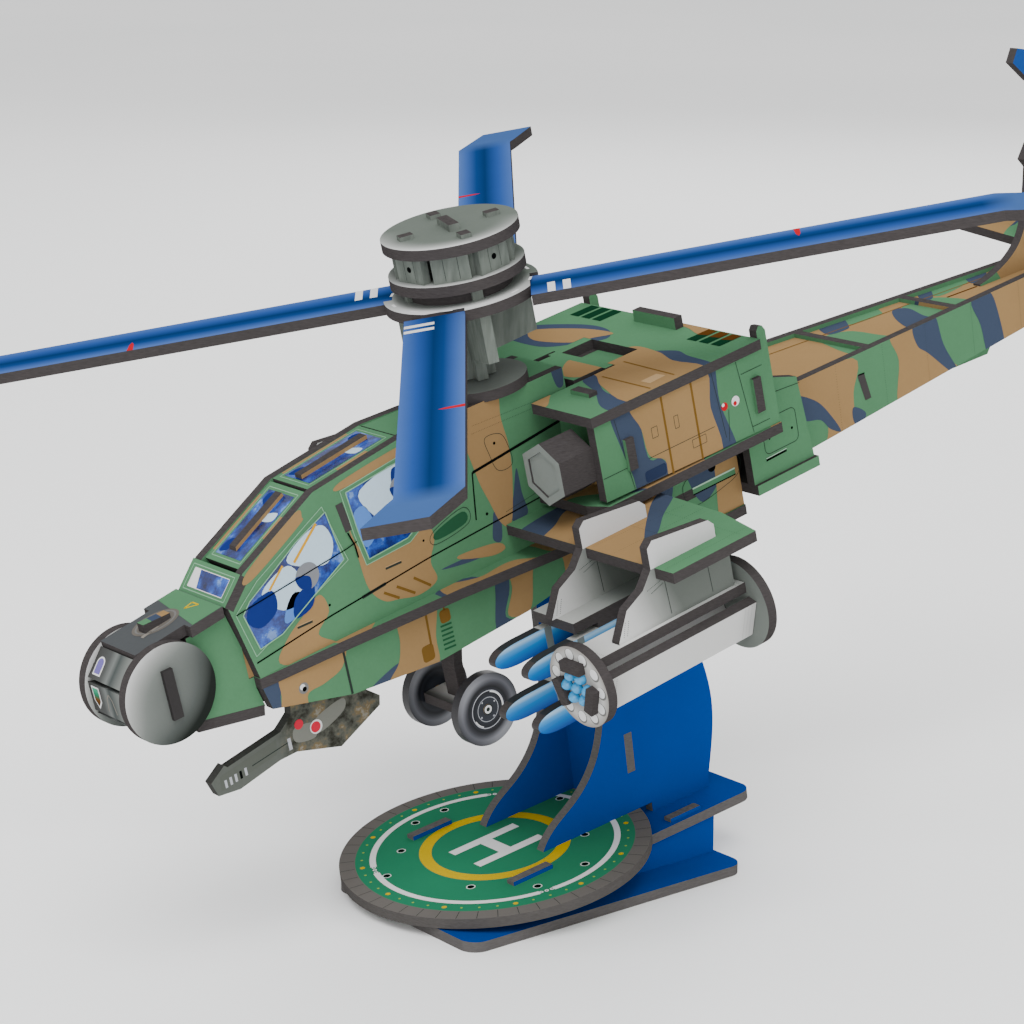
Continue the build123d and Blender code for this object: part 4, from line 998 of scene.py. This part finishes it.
def print_stores():
    """Rocket pods: tube mouths on the front discs and rows of rivets; the missiles get their blue from the
    launcher material.
    """
    for sign in (1, -1):
        def face(layer):
            return lambda y, z: heli(POD_FRONT + layer * LIFT, store_y(sign, y), z)
        for number in range(11):
            angle = 100 + number * 360 / 11
            a, b = polar(6, angle, POD_Y, POD_Z)
            stamp("edge_light", [arc(a, b, 1.22, steps=20)], face(1))
            stamp("paper", [arc(polar(-0.12, angle, a)[0], b + 0.15, 1.02, steps=20)], face(2))
    # rivets on the pod boards that face outward
    for sign in (1, -1):
        for degrees in POD_TURNS:
            a = math.radians(degrees)

            def panel(along, across, a=a):
                out = POD_PANEL_OUT + 2 * LIFT
                y = -out * math.sin(a) + across * math.cos(a)
                z = out * math.cos(a) + across * math.sin(a)
                return heli(along, store_y(sign, POD_Y + y), POD_Z + z)
            for end in (20.4, 19.6, -11.0, -11.8, -12.6):
                stamp("ink", dots((end, -3.2), (end, 3.2), 14, 0.08), panel)


def print_helipad():
    """Rings, lights, ticks and the landing mark."""
    gaps = [(72, 79), (228, 235), (331, 338)]
    for (_, low), (high, _) in zip(gaps, gaps[1:] + [(72 + 360, 0)]):
        stamp("paper", ring(0, 0, PAD_RING - 0.6, PAD_RING + 0.6, low, high, 60), helipad(2))
    for low, high in gaps:
        for shift in (-1.1, 0.0, 1.1):
            a, b = polar(PAD_RING, (low + high) / 2 + math.degrees(shift / PAD_RING))
            stamp("paper", ring(a, b, 0.18, 0.42, 0, 360, 12), helipad(2))
    stamp("yellow", ring(0, 0, 12.2, 14.6, 0, 360, 96), helipad(1))
    for number in range(48):
        angle = number * 7.5
        stamp("ink", ribbon([polar(27.1, angle), polar(29.9, angle)], 0.12), helipad(1))
        colour, size = ("yellow", 0.5) if number % 4 == 0 else ("lime", 0.24)
        stamp(colour, [arc(*polar(25.6, angle), size, steps=10)], helipad(1))
    lamps = ((3.5, -20.7), (-3.7, -20.7), (12.9, -12.8), (-12.9, -12.8), (21.2, -6.3), (-21.4, -6.2),
             (13.9, 10.2), (-13.9, 10.3), (5.8, 20), (-5.7, 20))
    for a, b in lamps:
        stamp("black", [arc(a, b, 0.62, steps=16)], helipad(1))
        stamp("paper", ring(a, b, 0.72, 0.88, 0, 360, 24), helipad(1))
    # the landing mark, turned to the nose
    for y in (-4.9, 2.9):
        stamp("paper", [box(-8.3, 7.5, y, y + 2.1)], helipad(1))
    stamp("paper", [box(-1.5, 1.3, -2.9, 3.0)], helipad(1))


def print_rotor():
    for quarter in range(4):
        for start in (15.6, 18.4):
            stamp("paper", [box(start, start + 1.4, -10.2, -4.8)], blade_face(quarter, 1), "main_rotor")
        arrow = [(60.6, 0.7), (61.8, 0.7), (61.6, -2.6), (61.2, -3.8), (60.8, -2.6)]
        stamp("red", [arrow], blade_face(quarter, 1), "main_rotor")
    # white dashes around the low disc, and a dot on every second panel of the drum
    for number in range(12):
        angle = number * 30 + 11
        middle = polar(12.9, angle)
        dash = ribbon([polar(0.9, angle + 90, *middle), polar(0.9, angle - 90, *middle)], 0.5)
        stamp("paper", dash, top(HUB_LOW, 1), "main_rotor")
    for number in range(8):
        angle = math.radians(BLADE_ANGLE + 20 + 22.5 + 45 * number)
        c, s = math.cos(angle), math.sin(angle)

        def panel(across, z, c=c, s=s):
            out = DRUM_OUT + 2 * LIFT
            return heli(out * c - across * s, out * s + across * c, z)
        if number % 2 == 0:
            stamp("black", [arc(0, 114.4, 0.55, steps=16)], panel, "main_rotor")
        for across in (-1.2, 1.4):
            stamp("ink", ribbon([(across, 112.2), (across, 116.4)], 0.08), panel, "main_rotor")


def print_wheels():
    hub = (WHEEL_X, WHEEL_Z)
    for sign, body in ((1, "wheel_left"), (-1, "wheel_right")):
        place = side(sign * WHEEL_Y, 1)
        stamp("silver", ring(*hub, 3.55, 3.72, 0, 360, 40), place, body)
        stamp("paper", ring(*hub, 3.3, 3.55, 110, 200, 16) + ring(*hub, 3.3, 3.5, 300, 340, 8), place, body)
        stamp("silver", ring(*hub, 2.3, 2.42, 0, 360, 32), place, body)
        for angle in (60, 150, 240, 330):
            stamp("silver", [arc(*polar(2, angle, *hub), 0.18, steps=10)], place, body)
        # the axle's cap doesn't turn with the wheel
        stamp("ink", [arc(*hub, 1, steps=24)], side(sign * WHEEL_Y, 2))
        stamp("paper", ring(*hub, 0.42, 0.82, 0, 360, 24), side(sign * WHEEL_Y, 3))


def print_gun():
    for sign in (1, -1):
        place = side(sign * GUN_FACE, 2)
        stamp("gunmetal", [[(71.8, 41), (72, 38.2), (59.6, 39.8), (59, 42.6)]], side(sign * GUN_FACE, 1))
        for number in range(5):
            x = 70.6 - number * 1.1
            low = 38.4 + number * 0.1
            colour = "silver" if number != 3 else "black"
            stamp(colour, [box(x, x + 0.5, low, low + 1.5)], place)
        stamp("ink", ribbon([(65, 40), (56.8, 40.9)], 0.2), place)
        stamp("silver", [box(56.2, 56.9, 39.3, 41.6)], place)
        stamp("gunmetal_light", [rounded([(55, 42.8), (50.9, 42.2), (51, 39.4), (55.2, 40.2)])], place)
        stamp("gunmetal_light", [rounded([(50.4, 42.6), (44, 44), (44.2, 41.6), (50, 39.8)])], place)
        stamp("paper", [arc(50.5, 41.2, 1.35, steps=20)], side(sign * GUN_FACE, 3))
        stamp("lamp_red", [arc(50.6, 41.2, 1.05, steps=20)], side(sign * GUN_FACE, 4))
        stamp("lamp_red", [arc(53.9, 43.2, 0.95, steps=20)], side(sign * GUN_FACE, 4))


INK_CODES = {
    "green": GREEN, "tan": TAN, "navy": NAVY, "tan_light": 0xc4a377, "brown": 0x7c5c2c,
    "brown_dark": 0x5c3a18, "deep_green": 0x2c5c40, "louvre": 0x123c27, "mint": 0x8fc09c,
    "mint_light": 0xb9dcc2, "black": 0x0c0e0e, "ink": 0x343c38, "edge": 0x4a4747,
    # the white ink here also makes a painted highlight on the windshield, and the pale blue after it the
    # painted reflections on the cockpit glass
    "edge_light": 0x7d7c7a, "paper": 0xf7f7f7, "sky": 0xcfe8f8, "glass_light": 0x5f8fdc,
    "glass_dark": 0x22357c, "yellow": 0xdcb800, "yellow_soft": 0xe2a92c, "lime": 0x9dc24c,
    # the helmet grey is the painted highlight on each pilot's helmet
    "helmet": 0x8a8d92, "taupe": 0x716c66, "taupe_light": 0x8f8a82, "violet": 0x7c72b8,
    "shield": 0x2f8a63, "red": 0xc8202c, "silver": 0xc3c5cb, "gunmetal": 0x62665f,
    "gunmetal_light": 0x85867e, "lamp_red": 0xe0344a, "navy_dark": 0x2f3a55,
}


def ink_material(name):
    if name == "glass":
        return glass_material()
    if name == "shield":
        paint = Paint("ink_shield", 0.3)
        tone = paint.span(heli_coordinate(paint, "z"), (TURRET_Z - 1.9) * MM, (TURRET_Z + 1.9) * MM)
        stops = [(0.0, 0x3a2a18), (0.4, 0x6b4a2a), (0.6, 0x2f7a5a), (1.0, 0x49b08c)]
        return paint.finish(paint.ramp(tone, stops), 0)
    paint = Paint("ink_" + name, 0.45)
    return paint.finish(paint.grain(linear(INK_CODES[name]), 0.08), 0.04)


def glass_material():
    """Printed cockpit glass: bright blue with darker, faceted shapes behind it."""
    paint = Paint("ink_glass", 0.22, 0.5)
    cells = paint.node("ShaderNodeTexVoronoi")
    cells.inputs["Scale"].default_value = 330.0
    paint.link(paint.place.outputs["Object"], cells.inputs["Vector"])
    cloud = paint.span(paint.noise(300.0, 4.0, 0.65), 0.32, 0.66)
    stops = [(0.0, 0x0c1740), (0.35, 0x16307c), (0.6, 0x1c4cb0), (0.82, 0x2c68d0), (1.0, 0x7fa8ea)]
    depth = paint.times(cells.outputs["Distance"], 0.5)
    return paint.finish(paint.mix(depth, paint.ramp(cloud, stops), linear(0x101c52)), 0)


def build_ink():
    """One mesh for each colour on each body."""
    for (colour, body), shapes in ink.items():
        points, triangles = [], []
        for shape in shapes:
            first = len(points)
            points += [tuple(point) for point in shape]
            for triangle in tessellate_polygon([shape]):
                triangles.append([first + corner for corner in triangle])
        mesh = bpy.data.meshes.new("print_" + colour)
        mesh.from_pydata(points, [], triangles)
        name = "print_" + colour + ("" if body == "airframe" else "_" + body)
        piece = bpy.data.objects.new(name, mesh)
        material = bpy.data.materials.get("ink_" + colour) or ink_material(colour)
        mesh.materials.append(material)
        bpy.context.scene.collection.objects.link(piece)
        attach(piece, body)
        SLOT_OF.get(colour, "camo_board")


SLOT_OF = dict.fromkeys(("glass", "sky", "glass_light", "glass_dark"), "canopy_board")


# ---- rockets in the pods ----
def make_rockets():
    """Seven blue rocket tips in the middle of each pod's front disc."""
    paint = Paint("rocket_tip", 0.25, 0.5)
    tip_blue = paint.grain(linear(0x3aa2de), 0.05)
    material = paint.finish(tip_blue, 0)
    middles = [(0, 0)] + oval(0, 0, 2.7, 2.4, 6)
    for sign, label in ((1, "left"), (-1, "right")):
        work = bmesh.new()
        for a, b in middles:
            rings = []
            for step in range(7):
                angle = math.radians(90 * step / 7)
                radius, out = ROCKET_RADIUS * math.cos(angle), ROCKET_LENGTH * math.sin(angle)
                loop = arc(POD_Y + a, POD_Z + b, radius, steps=16)
                rings.append([work.verts.new(heli(POD_FRONT + out, store_y(sign, y), z)) for y, z in loop])
            peak = work.verts.new(heli(POD_FRONT + ROCKET_LENGTH, store_y(sign, POD_Y + a), POD_Z + b))
            for low, high in zip(rings, rings[1:]):
                for k in range(16):
                    work.faces.new((low[k], low[k - 15], high[k - 15], high[k]))
            for k in range(16):
                work.faces.new((rings[-1][k], rings[-1][k - 15], peak))
            work.faces.new(list(reversed(rings[0])))
        bmesh.ops.recalc_face_normals(work, faces=work.faces)
        for face in work.faces:
            face.smooth = True
        mesh = bpy.data.meshes.new("rocket_tips_" + label)
        work.to_mesh(mesh)
        work.free()
        mesh.materials.append(material)
        piece = bpy.data.objects.new("rocket_tips_" + label, mesh)
        bpy.context.scene.collection.objects.link(piece)
        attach(piece, "airframe")


# ---- stage ----
FLOOR_HALF, ROOM_STRENGTH = 6.0, 1.15
CAMERA_AIM, CAMERA_OFFSET = (0.0085, 0.0, 0.008), (0.3238, 0.4107, 0.1939)
CAMERA_AZIMUTH, CAMERA_ELEVATION = 51.39, 13.79            # degrees
CAMERA_SENSOR, CAMERA_LENS = 36.0, 102.0586                # millimetres


def make_floor():
    mesh = bpy.data.meshes.new("floor")
    corners = box(-FLOOR_HALF, FLOOR_HALF, -FLOOR_HALF, FLOOR_HALF)
    mesh.from_pydata([(x, y, 0) for x, y in corners], [], [(0, 1, 2, 3)])
    floor = bpy.data.objects.new("floor", mesh)
    paint = Paint("floor_pale", 0.9, 0.1)
    tone = paint.span(paint.noise(2, 2), 0.3, 0.7)
    mesh.materials.append(paint.finish(paint.mix(tone, linear(0xf6f7f7, 1.0), linear(0xfcfcfc, 1.0)), 0))
    bpy.context.scene.collection.objects.link(floor)


def soft_light(name, position, aim, size, watts):
    data = bpy.data.lights.new(name, "AREA")
    data.shape = "DISK"
    data.size = size
    data.energy = watts
    lamp = bpy.data.objects.new(name, data)
    lamp.location = position
    lamp.rotation_euler = (Vector(aim) - Vector(position)).to_track_quat("-Z", "Y").to_euler()
    bpy.context.scene.collection.objects.link(lamp)


def make_light():
    world = bpy.data.worlds.new("studio")
    bpy.context.scene.world = world
    world.use_nodes = True
    background = world.node_tree.nodes["Background"]
    background.inputs[0].default_value = (1.0, 1.0, 1.0, 1.0)
    background.inputs[1].default_value = ROOM_STRENGTH
    middle = (0.0, 0.0, 0.08)
    soft_light("key", (0.5, 0.5, 1.1), middle, 0.9, 15.0)
    soft_light("side_fill", (0.9, 0.9, 0.3), middle, 0.8, 6.0)
    soft_light("back_fill", (-0.8, -0.6, 0.7), middle, 0.9, 5.0)


def make_camera():
    """The camera stands off the port bow, a little above the rotor."""
    position = Vector(CAMERA_AIM) + Vector(CAMERA_OFFSET)
    azimuth, elevation = math.radians(CAMERA_AZIMUTH), math.radians(CAMERA_ELEVATION)
    back = Vector((math.cos(elevation) * math.cos(azimuth),
                   math.cos(elevation) * math.sin(azimuth), math.sin(elevation)))
    right = Vector((-math.sin(azimuth), math.cos(azimuth), 0.0))
    up = back.cross(right)
    data = bpy.data.cameras.new("camera")
    data.sensor_width = CAMERA_SENSOR
    data.lens = CAMERA_LENS
    data.clip_start = 0.01
    camera = bpy.data.objects.new("camera", data)
    basis = Matrix((right, up, back)).transposed().to_4x4()
    camera.matrix_world = Matrix.Translation(position) @ basis
    bpy.context.scene.collection.objects.link(camera)
    bpy.context.scene.camera = camera


make_camera()
make_light()
make_floor()
dress_boards()
print_hull()
print_windows()
print_nose()
print_engines()
print_boom()
print_wings()
print_stores()
print_helipad()
print_rotor()
print_wheels()
print_gun()
build_ink()
make_rockets()
